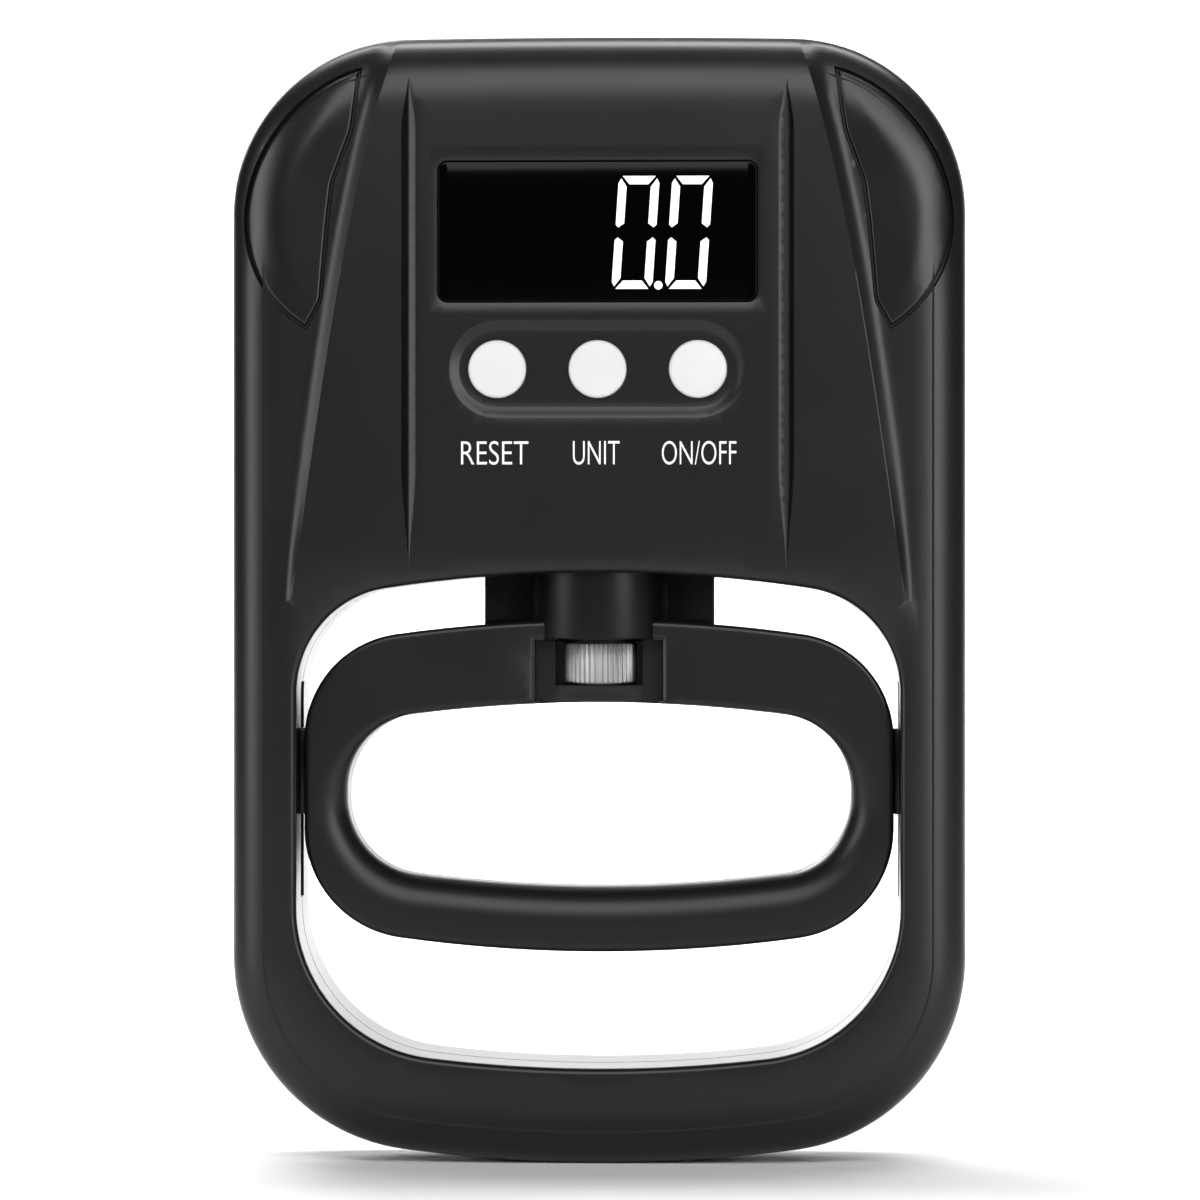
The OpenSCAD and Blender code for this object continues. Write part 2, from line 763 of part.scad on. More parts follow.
// Half of the ring that the fingers pull; side is -1 for the front half
module handle_half(side) {
    opened_x = side < 0 ? window_x : rear_window_x;
    color(handle_colour)
    difference() {
        union() {
            difference() {
                rounded_half(HANDLE, handle_d, handle_edge, handle_edge, 0, side);
                slab(min(0, side * handle_inner_y), max(0, side * handle_inner_y))
                difference() {
                    barrel(grown(HANDLE, -handle_wall));
                    barrel(grown(FINGERS, handle_wall));
                }
            }
            block(-HEAD_RIBS[0], HEAD_RIBS[0], min(side * HEAD_RIBS[1], side * HEAD_RIBS[2]),
                max(side * HEAD_RIBS[1], side * HEAD_RIBS[2]), HEAD_RIBS[3], neck_bottom);
            both_sides()
            for (p = HANDLE_SCREWS)
            bar_y(p[0], p[1], handle_post_r, min(0, side * HEAD_RIBS[2]), max(0, side * HEAD_RIBS[2]));
        }
        slab(-half_handle - beyond, half_handle + beyond)
        barrel(FINGERS);
        lofted(side < 0
            ? [[-half_handle - 0.5, grown(FINGERS, finger_round - 0.2)],
                [finger_round - half_handle, grown(FINGERS, -0.1)]]
            : [[half_handle - finger_round, grown(FINGERS, -0.1)],
                [half_handle + 0.5, grown(FINGERS, finger_round - 0.2)]]);
        block(-panel_x, panel_x, min(side * panel_y, side * far_y), max(side * panel_y, side * far_y),
            panel_bottom, neck_bottom);
        block(-opened_x, opened_x, min(side * 2, side * far_y), max(side * 2, side * far_y),
            window_bottom, neck_bottom);
        bar_z(0, 0, wheel_r + wheel_gap, window_bottom, neck_bottom);
        bar_z(0, 0, neck_r + seat_gap, neck_bottom, foot_top);
        block(-wing_x - seat_gap, wing_x + seat_gap, -wing_t / 2 - seat_gap, wing_t / 2 + seat_gap,
            wheel_top - 0.8, foot_top);
        bar_z(0, 0, bush_r + seat_gap, bush_bottom - seat_gap, wheel_bottom);
        bar_z(0, 0, bush_flange_r + seat_gap, bush_step - seat_gap, wheel_bottom);
        both_sides() {
            block(HANDLE[0] - handle_wall - beyond, HANDLE[0] + beyond, -shoe_y, shoe_y,
                shoe_bottom + shoe_step, shoe_top - shoe_step);
            for (p = HANDLE_SCREWS) {
                bar_y(p[0], p[1], handle_screw_r + seat_gap, handle_screw_tip_y - 0.5, half_handle + beyond);
                bar_y(p[0], p[1], handle_head_r + 0.2, handle_head_y, half_handle + beyond);
            }
        }
    }
}

// Sliding shoe that runs in a groove of the frame, hooked through the handle's side wall
module guide_shoe(side) {
    wall_x = HANDLE[0] - handle_wall;
    color("#0f0f10")
    scale([side, 1, 1])
    union() {
        block(HANDLE[0] + 0.03, OPENING[0] + 2.3, -shoe_y, shoe_y, shoe_bottom, shoe_top);
        block(wall_x - 0.03, HANDLE[0] + 0.03, seat_gap - shoe_y, shoe_y - seat_gap,
            shoe_bottom + shoe_step + seat_gap, shoe_top - shoe_step - seat_gap);
        block(wall_x - hook_t, wall_x - 0.03, -hook_y, hook_y, shoe_bottom, shoe_top - 1.6);
    }
}

module handle_screws() {
    color(steel_colour)
    both_sides()
    for (p = HANDLE_SCREWS)
    screw_y(p[0], p[1], handle_screw_r, handle_screw_tip_y, handle_head_y, handle_head_r, 1.6);
}

module casing_screws() {
    color(steel_colour)
    both_sides()
    for (p = CASING_SCREWS)
    screw_y(p[0], p[1], casing_screw_r, casing_screw_tip_y, casing_head_y, casing_head_r, casing_head_t);
}

// Battery with its nub against the contact at the +X side when side is 1
module battery(side, z) {
    color("#b9a23a")
    translate([side * contact_x, battery_y, z])
    rotate([0, -side * 90, 0])
    union() {
        cylinder(h = nub_l, r = nub_r);
        translate([0, 0, nub_l])
        cylinder(h = battery_l - nub_l, r = battery_r);
    }
}

// Conical coil between a battery's flat end and its contact plate
module contact_spring(side, z) {
    turns = 4;
    rings = 14 * turns;
    sides = 6;
    wire_r = 0.3;
    length = 2 * contact_x - battery_l - 2 * wire_r - 0.1;
    points = [for (i = [0:rings], j = [0:sides - 1]) let (
            coil_r = 3.4 - 1.6 * i / rings + wire_r * cos(360 * j / sides),
            angle = 360 * turns * i / rings
        ) [
            wire_r + 0.05 + length * i / rings + wire_r * sin(360 * j / sides),
            coil_r * cos(angle),
            coil_r * sin(angle)
        ]];
    walls = [for (i = [0:rings - 1], j = [0:sides - 1])
        [i * sides + j, (i + 1) * sides + j, (i + 1) * sides + (j + 1) % sides, i * sides + (j + 1) % sides]];
    ends = [[for (j = [0:sides - 1]) j], [for (j = [sides - 1:-1:0]) rings * sides + j]];
    translate([side * contact_x, battery_y, z])
    rotate([0, 0, 90 * (1 + side)])
    polyhedron(points, concat(walls, ends));
}

module battery_springs() {
    color(steel_colour)
    union() {
        contact_spring(-1, UPPER_Z);
        contact_spring(1, LOWER_Z);
    }
}

module battery_contacts() {
    color(steel_colour)
    union() {
        block(contact_x, contact_x + contact_t, battery_y - contact_half, battery_y + contact_half,
            LOWER_Z - contact_half, UPPER_Z + contact_half);
        for (z = [UPPER_Z, LOWER_Z]) {
            block(-contact_x - contact_t, -contact_x, battery_y - contact_half, battery_y + contact_half,
                z - contact_half, z + contact_half);
            block(-tub_x - 2.2, -contact_x - contact_t, tab_y, tab_y + contact_t, z - tab_half, z + tab_half);
        }
    }
}

module battery_wires() {
    color("#b03226")
    for (z = [UPPER_Z, LOWER_Z])
    wire([-tub_x - 1.8, tab_y - 0.65, z], [-tub_x - 4.5, 2, z],
        [-30, -3, z - 3], [-30, board_back_y + wire_clearance, z - 3], 0.6);
}

// Flap with a rounded top edge that turns on two stub pins
module battery_door() {
    hinge_y = half_d - door_t / 2;
    color(casing_colour)
    union() {
        block(-door_x, door_x, half_d - door_t, half_d, door_bottom, door_hinge_z);
        translate([-door_x, hinge_y, door_hinge_z])
        rotate([0, 90, 0])
        cylinder(h = 2 * door_x, r = door_t / 2);
        translate([-door_x - door_pin_l, hinge_y, door_hinge_z])
        rotate([0, 90, 0])
        cylinder(h = 2 * (door_x + door_pin_l), r = door_pin_r);
    }
}

front_casing();
rear_casing();
shoulder_insert(-1);  // left_shoulder_insert
shoulder_insert(1);  // right_shoulder_insert
display_lens();
lcd_panel();
lcd_backlight();
lcd_holder();
zebra_strip();
main_board();
processor_chip();
amplifier_chip();
board_screws();
tact_switch(-1);  // reset_switch
tact_switch(0);  // unit_switch
tact_switch(1);  // power_switch
switch_plunger(-1);  // reset_plunger
switch_plunger(0);  // unit_plunger
switch_plunger(1);  // power_plunger
button_cap(-1);  // reset_button
button_cap(0);  // unit_button
button_cap(1);  // power_button
load_cell();
strain_gauge_cover();
load_cell_bracket();
load_cell_bolts();
bracket_screws();
load_cell_wires();
load_socket();
socket_washer();
socket_nut();
neck_guide(-1);  // left_neck_guide
neck_guide(1);  // right_neck_guide
adjusting_screw();
adjusting_wheel();
thrust_washer();
wheel_bush();
handle_neck();
handle_half(-1);  // handle_front
handle_half(1);  // handle_rear
guide_shoe(-1);  // left_guide_shoe
guide_shoe(1);  // right_guide_shoe
handle_screws();
casing_screws();
battery(1, UPPER_Z);  // upper_battery
battery(-1, LOWER_Z);  // lower_battery
battery_springs();
battery_contacts();
battery_wires();
battery_door();
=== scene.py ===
import math

import bmesh
import bpy
import numpy as np
from mathutils import Matrix, Vector
from mathutils.geometry import delaunay_2d_cdt


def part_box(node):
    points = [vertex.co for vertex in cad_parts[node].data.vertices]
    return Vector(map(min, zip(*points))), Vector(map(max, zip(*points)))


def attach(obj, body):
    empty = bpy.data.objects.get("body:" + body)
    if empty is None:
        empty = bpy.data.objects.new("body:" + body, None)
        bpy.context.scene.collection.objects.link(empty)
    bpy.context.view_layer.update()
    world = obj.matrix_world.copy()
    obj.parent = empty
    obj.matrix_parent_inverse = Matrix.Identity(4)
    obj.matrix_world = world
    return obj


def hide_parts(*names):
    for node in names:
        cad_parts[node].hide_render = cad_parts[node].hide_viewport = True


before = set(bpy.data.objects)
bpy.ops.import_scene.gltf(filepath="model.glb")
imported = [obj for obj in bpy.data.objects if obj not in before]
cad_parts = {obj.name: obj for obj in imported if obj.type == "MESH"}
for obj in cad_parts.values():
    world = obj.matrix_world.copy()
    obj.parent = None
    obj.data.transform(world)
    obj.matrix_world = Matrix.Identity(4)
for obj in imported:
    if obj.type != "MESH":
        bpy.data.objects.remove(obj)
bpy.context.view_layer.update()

# Lengths in this script are millimetres, and MM turns them into the scene's metres.
# Outlines lie in the XZ plane: X to the right, Z up, and the display faces -Y.
MM = 0.001


def box_mm(node):
    low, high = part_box(node)
    return np.array(low) / MM, np.array(high) / MM


# ---- driving dimensions

CASING_LOW, CASING_HIGH = box_mm("front_casing")
HALF_W = CASING_HIGH[0]
TOP_Z = CASING_HIGH[2]
HALF_D = -CASING_LOW[1]
HANDLE_LOW, HANDLE_HIGH = box_mm("handle_front")
HANDLE_HALF_D = -HANDLE_LOW[1]

# Barrel outline: half width, bottom, top, bottom bow, top bow, bottom corner and top corner radius
FRAME = (HALF_W, 0, TOP_Z, 251, 2000, 33.4, 30)
OPENING = (HALF_W - 11.2, 16.5, 100.7, 240, 240, 25.7, 18)
HANDLE = (HANDLE_HIGH[0], HANDLE_LOW[2], HANDLE_HIGH[2], 249, 249, 18.9, 18)
FINGERS = (HANDLE_HIGH[0] - 7.3, 47, 78.5, 245, 249, 13.2, 12.9)

HOOD_Y = -HALF_D + 0.4          # flat face of the display head
BAR_Y = -HALF_D + 2.2           # crest of the ring's bars
EDGE_START_Y = 7                # distance of the rounded edges' start from the middle plane
BAR_EDGE, HOOD_EDGE, REAR_EDGE = 10.5, 11.5, 9.5    # widths of the rounded edges
RIM = 1.1                       # radius of the rounded rim of the opening
HOLLOW_Y = HALF_D - 2.8         # floor of the hollow in each casing half
HOLLOW_INSET = 5.5              # from the outline to the hollow
OPENING_WALL = 3.8              # from the opening to the hollow
SEAM = 0.3                      # half width of the groove where the casing halves meet
FIRST_STRIP = 0.2               # first strip of a side wall, narrow so that its shading stays even

LENS_LOW, LENS_HIGH = box_mm("display_lens")
LENS_Z = (LENS_LOW[2] + LENS_HIGH[2]) / 2
BUTTONS = {name: box_mm(name + "_button") for name in ("reset", "unit", "power")}
BUTTON_X = {name: (b[0][0] + b[1][0]) / 2 for name, b in BUTTONS.items()}
BUTTON_Z = (BUTTONS["unit"][0][2] + BUTTONS["unit"][1][2]) / 2
BUTTON_R = 4.9
BUTTON_HOLE_R = 5.05


# ---- outlines and distances

def arc(x, z, r, start, end, n):
    angles = np.radians(np.linspace(start, end, n + 1))
    return np.stack([x + r * np.cos(angles), z + r * np.sin(angles)], axis=1)


def barrel(b, d=0.0, corner=26, bow=34):
    """Points of a barrel outline moved outwards by d, anticlockwise."""
    w, z0, z1, r0, r1, c0, c1 = (value + (-d if i == 1 else d) for i, value in enumerate(b))
    low = z0 + r0 - math.sqrt((r0 - c0) ** 2 - (w - c0) ** 2)
    high = z1 - r1 + math.sqrt((r1 - c1) ** 2 - (w - c1) ** 2)
    a0 = math.degrees(math.atan2(low - z0 - r0, w - c0))
    a1 = math.degrees(math.atan2(high - z1 + r1, w - c1))
    side = np.linspace(low, high, 24)[1:-1]
    return np.concatenate([
        arc(0, z0 + r0, r0, -180 - a0, a0, bow)[1:-1],
        arc(w - c0, low, c0, a0, 0, corner),
        np.stack([np.full(len(side), w), side], axis=1),
        arc(w - c1, high, c1, 0, a1, corner),
        arc(0, z1 - r1, r1, a1, 180 - a1, bow)[1:-1],
        arc(c1 - w, high, c1, 180 - a1, 180, corner),
        np.stack([np.full(len(side), -w), side[::-1]], axis=1),
        arc(c0 - w, low, c0, 180, 180 - a0, corner),
    ])


def rounded_rect(w, h, r, x=0.0, z=0.0, d=0.0, corner=8):
    w, h, r = w / 2 + d, h / 2 + d, max(r + d, 0.05)
    corners = [(w - r, r - h, -90), (w - r, h - r, 0), (r - w, h - r, 90), (r - w, r - h, 180)]
    return np.concatenate([arc(x + cx, z + cz, r, a, a + 90, corner) for cx, cz, a in corners])


def circle(x, z, r, n=48):
    return arc(x, z, r, 0, 360, n)[:-1]


def bezier(p0, p1, p2, p3, n):
    t = np.linspace(0, 1, n + 1)[:, None]
    p0, p1, p2, p3 = (np.array(p, float) for p in (p0, p1, p2, p3))
    return (1 - t) ** 3 * p0 + 3 * (1 - t) ** 2 * t * p1 + 3 * (1 - t) * t ** 2 * p2 + t ** 3 * p3


def distance(points, line, closed=True):
    """Distance from each point to a polyline."""
    a = line
    b = np.roll(line, -1, axis=0)
    if not closed:
        a, b = a[:-1], b[:-1]
    best = np.full(len(points), 1e9)
    for p, q in zip(a, b):
        along = q - p
        length = along @ along
        if length < 1e-12:
            continue
        t = np.clip(((points - p) @ along) / length, 0, 1)
        best = np.minimum(best, np.hypot(*(points - p - t[:, None] * along).T))
    return best


def inside(points, outline):
    """Whether each point lies inside a closed outline."""
    x, z = points[:, 0], points[:, 1]
    odd = np.zeros(len(points), bool)
    for (x0, z0), (x1, z1) in zip(outline, np.roll(outline, -1, axis=0)):
        if z0 == z1:
            continue
        crosses = (z0 > z) != (z1 > z)
        odd ^= crosses & (x < (x1 - x0) * (z - z0) / (z1 - z0) + x0)
    return odd


def depth_in(points, outline):
    """Distance from the outline, positive inside it."""
    return distance(points, outline) * np.where(inside(points, outline), 1, -1)


def offset(outline, d):
    """Outline moved outwards by d along its corner normals; outline is anticlockwise."""
    before = outline - np.roll(outline, 1, axis=0)
    after = np.roll(outline, -1, axis=0) - outline
    normals = []
    for e in (before, after):
        e = e / np.maximum(np.hypot(*e.T), 1e-9)[:, None]
        normals.append(np.stack([e[:, 1], -e[:, 0]], axis=1))
    mean = normals[0] + normals[1]
    mean /= np.maximum(np.hypot(*mean.T), 1e-9)[:, None]
    stretch = 1 / np.clip((mean * normals[1]).sum(axis=1), 0.45, 1)
    return outline + d * stretch[:, None] * mean


def smooth(low, high, value):
    t = np.clip((value - low) / (high - low), 0, 1)
    return t * t * (3 - 2 * t)


def rounding(d, width, deep):
    """How far a surface falls at distance d from an edge that is rounded over width and deep."""
    t = np.clip((width - d) / width, 0, 1)
    return deep * (1 - np.sqrt(1 - t * t))


# Leaf outline of the left shoulder insert, anticlockwise, and its mirror image
LEAF_CURVE = bezier((-40.3, 186.4), (-59.2, 180.8), (-69, 154.2), (-49.6, 142.1), 40)
LEAF_KNEES = [(-49.6, 142.1), (-47.0, 146.7), (-45.8, 160.4), (-45.0, 166.9), (-41.7, 175.8),
              (-40.3, 186.4)]
LEAF_RECESS = 0.85              # depth of the recess that holds an insert
LEAF_GAP = 0.32                 # between the recess and the insert
LEAF_BACK = 0.82                # back of the insert below the casing's face


def subdivided(line, step):
    """The same open polyline with its corners slightly rounded and points about a step apart."""
    points = []
    for a, b in zip(line, line[1:]):
        a, b = np.array(a, float), np.array(b, float)
        n = max(2, int(np.hypot(*(b - a)) / step))
        points += [a + (b - a) * i / n for i in range(n)]
    points = np.array(points + [np.array(line[-1], float)])
    soft = points.copy()
    soft[1:-1] = (points[:-2] + 2 * points[1:-1] + points[2:]) / 4
    return soft


LEFT_LEAF = np.concatenate([LEAF_CURVE, subdivided(LEAF_KNEES, 0.8)[1:-1]])
RIGHT_LEAF = (LEFT_LEAF * [-1, 1])[::-1]
LEAVES = {"left": LEFT_LEAF, "right": RIGHT_LEAF}

# Line where the flat hood of the display head meets the bars, on the right
HIP = bezier((33.2, 194), (41.6, 168), (44.4, 150), (52.0, 96), 60)
HIP_STEPS = (-0.15, 0, 0.15, 0.7, 1.3, 1.8, 2.3, 2.9, 3.7)
HIP_NARROW, HIP_WIDENING = 1.9, 1.8     # width of the slope beside the hood, and what it gains higher up
HOOD_START, HOOD_FULL = 84, 106         # heights between which the hood rises out of the bars
HOOD_FLAT_X, HOOD_CROWN = 33, 0.002     # end of the hood's flat part, and how fast it falls beyond that
# Blade-shaped grooves on both sides of the display: a wide flank that faces outwards and a narrow one
BLADE_X = 30.7
BLADE_LOW, BLADE_HIGH = 100.9, 184.6
BLADE_FLANK, BLADE_BACK, BLADE_DEPTH = 2.15, 0.4, 1.2
BLADE_END = 1 + BLADE_BACK / BLADE_FLANK


def hip_x(z):
    return np.interp(z, HIP[::-1, 1], HIP[::-1, 0])


def hip_band(z):
    return HIP_NARROW + HIP_WIDENING * smooth(98, 122, z)


def blade_taper(z):
    """Width of the groove at a height, as a part of its full width."""
    return 0.03 + 0.97 * smooth(BLADE_LOW - 1, BLADE_LOW + 18, z) * smooth(BLADE_HIGH + 1, BLADE_HIGH - 9, z)


def blade_x(u, z):
    """Distance from the middle of a line that runs along the groove; u is 0 at its rim and 1 at its bottom."""
    taper = blade_taper(z)
    return BLADE_X + (0.6 * (1 - taper) + u * taper) * BLADE_FLANK


def blade(across, z):
    """Depth of the groove at a distance from the middle and a height."""
    u = (across - blade_x(0, z)) / (blade_taper(z) * BLADE_FLANK)
    within = (z > BLADE_LOW) & (z < BLADE_HIGH)
    return within * BLADE_DEPTH * blade_taper(z) * np.clip(np.minimum(u, (BLADE_END - u) / (BLADE_END - 1)), 0, 1)


DISPLAY_SIZE = (LENS_HIGH[0] - LENS_LOW[0] + 0.2, LENS_HIGH[2] - LENS_LOW[2] + 0.2, 1.7)
DISPLAY_CHAMFER = 0.17          # depth of the chamfer round the display window
DISPLAY_FLOOR_Y = -HALF_D + 1.48
STADIUM_SIZE = (50.2, 16.3, 8.1)
STADIUM_FLOOR_Y = -HALF_D + 1.2
OUTER = barrel(FRAME)
HOLE = barrel(OPENING)


def front_base(p):
    """Depth of the front face without its windows and inlays."""
    edge = depth_in(p, OUTER)
    ring = -depth_in(p, HOLE)
    across, z = np.abs(p[:, 0]), p[:, 1]
    bar = BAR_Y + rounding(edge, BAR_EDGE, -BAR_Y - EDGE_START_Y)
    hood = HOOD_Y + rounding(edge, HOOD_EDGE, -HOOD_Y - EDGE_START_Y)
    hood += HOOD_CROWN * np.maximum(across - HOOD_FLAT_X, 0) ** 2
    past_hip = np.clip((across - hip_x(z)) / hip_band(z), 0, 1)
    left_over = np.where(past_hip < 1 / 3, 1 - past_hip * 1.5, (1 - past_hip) ** 2 * 1.125)
    y = bar + (hood - bar) * left_over * smooth(HOOD_START, HOOD_FULL, z)
    return y + blade(across, z) + rounding(ring, RIM, RIM)


def front_depth(p):
    """Depth of the front face with the display window, the button panel and the inserts' recesses."""
    y = front_base(p)
    display = depth_in(p, rounded_rect(*DISPLAY_SIZE, z=LENS_Z))
    y += DISPLAY_CHAMFER * np.clip((display + 0.65) / 0.45, 0, 1)
    y += (DISPLAY_FLOOR_Y - y) * smooth(-0.15, 0.3, display)
    stadium = depth_in(p, rounded_rect(*STADIUM_SIZE, z=BUTTON_Z))
    y += (STADIUM_FLOOR_Y - y) * np.clip((stadium + 0.1) / 1.75, 0, 1)
    for leaf in LEAVES.values():
        y += LEAF_RECESS * smooth(-0.22, 0.12, depth_in(p, leaf))
    return y


def insert_depth(leaf):
    """Depth function of an insert's crowned face."""
    def depth(p):
        rim = depth_in(p, offset(leaf, -LEAF_GAP))
        crown = 0.55 * smooth(0, 6.5, rim)
        return front_base(p) + rounding(rim, 0.6, 0.6) - crown
    return depth


DOOR_LOW, DOOR_HIGH = box_mm("battery_door")
DOOR_HALF_W = DOOR_HIGH[0] - 1.3        # the hinge pins stand out beside the flap
DOOR_Z = (DOOR_LOW[2] + DOOR_HIGH[2]) / 2
DOOR_H = DOOR_HIGH[2] - DOOR_LOW[2]
DOOR_POCKET = (2 * DOOR_HALF_W + 0.4, DOOR_H + 0.4, 0.8)
DOOR_POCKET_Y = HALF_D - 1.85


def rear_depth(p):
    """Depth of the rear face, which falls towards the door's pocket."""
    edge = depth_in(p, OUTER)
    ring = -depth_in(p, HOLE)
    y = HALF_D - rounding(edge, REAR_EDGE, HALF_D - EDGE_START_Y) - rounding(ring, RIM, RIM)
    pocket = depth_in(p, rounded_rect(*DOOR_POCKET, z=DOOR_Z))
    above = (p[:, 1] > DOOR_HIGH[2]) & (np.abs(p[:, 0]) < DOOR_HALF_W)
    y -= np.where(above, 0.8 * smooth(-0.9, 0, pocket), 0.35 * smooth(-0.35, 0, pocket))
    return y


# ---- mesh building

WELD = 2e-7                     # metres within which two corners are one


def close_seams(bm, reach=3e-5):
    """Splits each open edge where a corner of the sheet beside it lies on it, and welds the two."""
    rims = [e for e in bm.edges if len(e.link_faces) == 1]
    corners = {v for e in rims for v in e.verts}
    for edge in rims:
        start, along = edge.verts[0].co.copy(), edge.verts[1].co - edge.verts[0].co
        hits = []
        for v in corners:
            if v not in edge.verts:
                t = (v.co - start).dot(along) / along.length_squared
                if 0 < t < 1 and (start + t * along - v.co).length < reach:
                    hits.append((t, v.co.copy()))
        near, last = edge.verts[0], 0
        for t, place_of_v in sorted(hits, key=lambda hit: hit[0]):
            if t - last > 1e-6:
                _, near = bmesh.utils.edge_split(edge, near, (t - last) / (1 - last))
                near.co = place_of_v
                last = t
    bmesh.ops.remove_doubles(bm, verts=bm.verts, dist=WELD)


class Shell:
    """Collects faces whose corners are (x, y, z) in millimetres and welds equal corners."""

    def __init__(self):
        self.index = {}
        self.corners = []
        self.faces = []

    def corner(self, p):
        key = (round(p[0], 3), round(p[1], 3), round(p[2], 3))
        if key not in self.index:
            self.index[key] = len(self.corners)
            self.corners.append((p[0] * MM, p[1] * MM, p[2] * MM))
        return self.index[key]

    def face(self, points):
        ids = []
        for p in points:
            i = self.corner(p)
            if i not in ids:
                ids.append(i)
        if len(ids) > 2:
            self.faces.append(ids)

    def strip(self, loop0, depth0, loop1, depth1, closed=True):
        """Faces between two outlines with the same number of points at two depths."""
        n = len(loop0)
        depth0 = np.broadcast_to(depth0, n)
        depth1 = np.broadcast_to(depth1, n)
        for i in range(n if closed else n - 1):
            j = (i + 1) % n
            self.face([
                (loop0[i][0], depth0[i], loop0[i][1]), (loop0[j][0], depth0[j], loop0[j][1]),
                (loop1[j][0], depth1[j], loop1[j][1]), (loop1[i][0], depth1[i], loop1[i][1]),
            ])

    def patch(self, outer, holes, depth, loops=(), lines=(), spots=None):
        """Sheet inside outer and outside the holes, with corners on every loop, line and spot."""
        points, edges = [], []
        closed_loops = [outer, *holes, *loops]
        for number, loop in enumerate([*closed_loops, *lines]):
            closed = number < len(closed_loops)
            start = len(points)
            points += [tuple(p) for p in loop]
            n = len(loop)
            edges += [(start + i, start + (i + 1) % n) for i in range(n if closed else n - 1)]
        if spots is not None:
            points += [tuple(p) for p in spots]
        out, _, triangles, origin, *_ = delaunay_2d_cdt([Vector(p) for p in points], edges, [], 0, 1e-5)
        # the corners given keep their full precision, so that the sheet meets the strips next to it
        flat = np.array([points[o[0]] if o else (v.x, v.y) for v, o in zip(out, origin)], float)
        triangles = np.array([t for t in triangles if len(t) == 3])
        middle = flat[triangles].mean(axis=1)
        keep = inside(middle, outer)
        for hole in holes:
            keep &= ~inside(middle, hole)
        triangles = triangles[keep]
        y = depth(flat) if callable(depth) else np.full(len(flat), float(depth))
        for t in triangles:
            self.face([(flat[i][0], y[i], flat[i][1]) for i in t])

    def build(self, name, angle=32):
        mesh = bpy.data.meshes.new(name)
        mesh.from_pydata(self.corners, [], self.faces)
        bm = bmesh.new()
        bm.from_mesh(mesh)
        bmesh.ops.remove_doubles(bm, verts=bm.verts, dist=WELD)
        close_seams(bm)
        bmesh.ops.dissolve_degenerate(bm, dist=1e-7, edges=bm.edges)
        bmesh.ops.recalc_face_normals(bm, faces=bm.faces)
        bm.to_mesh(mesh)
        bm.free()
        return add_object(name, mesh, angle)


def linked(name, data):
    obj = bpy.data.objects.new(name, data)
    bpy.context.scene.collection.objects.link(obj)
    return obj


def add_object(name, mesh, angle=32):
    """Smooth-shaded object whose edges are sharp above an angle in degrees."""
    mesh.shade_smooth()
    mesh.set_sharp_from_angle(angle=math.radians(angle))
    return linked(name, mesh)


def with_modifier(obj, kind, angle=32, **settings):
    """Adds a modifier and applies it."""
    modifier = obj.modifiers.new(kind, kind)
    for key, value in settings.items():
        setattr(modifier, key, value)
    evaluated = obj.evaluated_get(bpy.context.evaluated_depsgraph_get())
    mesh = bpy.data.meshes.new_from_object(evaluated)
    obj.modifiers.clear()
    obj.data = mesh
    mesh.shade_smooth()
    mesh.set_sharp_from_angle(angle=math.radians(angle))
    return obj


def cut(obj, *cutters):
    """Takes the cutters out of a piece and deletes them."""
    for cutter in cutters:
        with_modifier(obj, "BOOLEAN", operation="DIFFERENCE", solver="EXACT", object=cutter)
        bpy.data.objects.remove(cutter)
    return obj


def box_object(name, low, high, bevel=0.0):
    """Block between two corners, with rounded edges if bevel is set."""
    bm = bmesh.new()
    bmesh.ops.create_cube(bm, size=1)
    low, high = np.array(low, float), np.array(high, float)
    for v in bm.verts:
        v.co = Vector(((low + high) / 2 + np.array(v.co) * (high - low)) * MM)
    if bevel:
        bmesh.ops.bevel(bm, geom=bm.edges, offset=bevel * MM, segments=3, profile=0.5, affect="EDGES")
    mesh = bpy.data.meshes.new(name)
    bm.to_mesh(mesh)
    bm.free()
    return add_object(name, mesh)


def stacked(name, rings, angle=32):
    """Closed solid from rings with the same number of corners."""
    shell = Shell()
    n = len(rings[0])
    for lower, upper in zip(rings, rings[1:]):
        for i in range(n):
            j = (i + 1) % n
            shell.face([lower[i], lower[j], upper[j], upper[i]])
    for ring in (rings[0], rings[-1]):
        shell.face(ring)
    return shell.build(name, angle)


def turned(name, profile, axis, centre, n=96, angle=32):
    """Solid of revolution: profile is (radius, height) pairs from one end of the axis to the other."""
    turn = np.linspace(0, 2 * math.pi, n + 1)[:-1]
    rings = []
    for r, h in profile:
        ring = [(centre[0] + r * math.cos(a), centre[1] + r * math.sin(a)) for a in turn]
        if axis == "Z":
            rings.append([(u, v, h) for u, v in ring])
        elif axis == "Y":
            rings.append([(u, h, v) for u, v in ring])
        else:
            rings.append([(h, u, v) for u, v in ring])
    return stacked(name, rings, angle)


def corner_profile(r, start, end, edge, steps=5):
    """Radius and height pairs of a round bar whose two rims are rounded by edge."""
    up = 1 if end > start else -1
    points = []
    for i in range(steps + 1):
        a = math.pi / 2 * i / steps
        points.append((r - edge + edge * math.sin(a), start + up * edge * (1 - math.cos(a))))
    for i in range(steps + 1):
        a = math.pi / 2 * (1 - i / steps)
        points.append((r - edge + edge * math.sin(a), end - up * edge * (1 - math.cos(a))))
    return points


# ---- materials

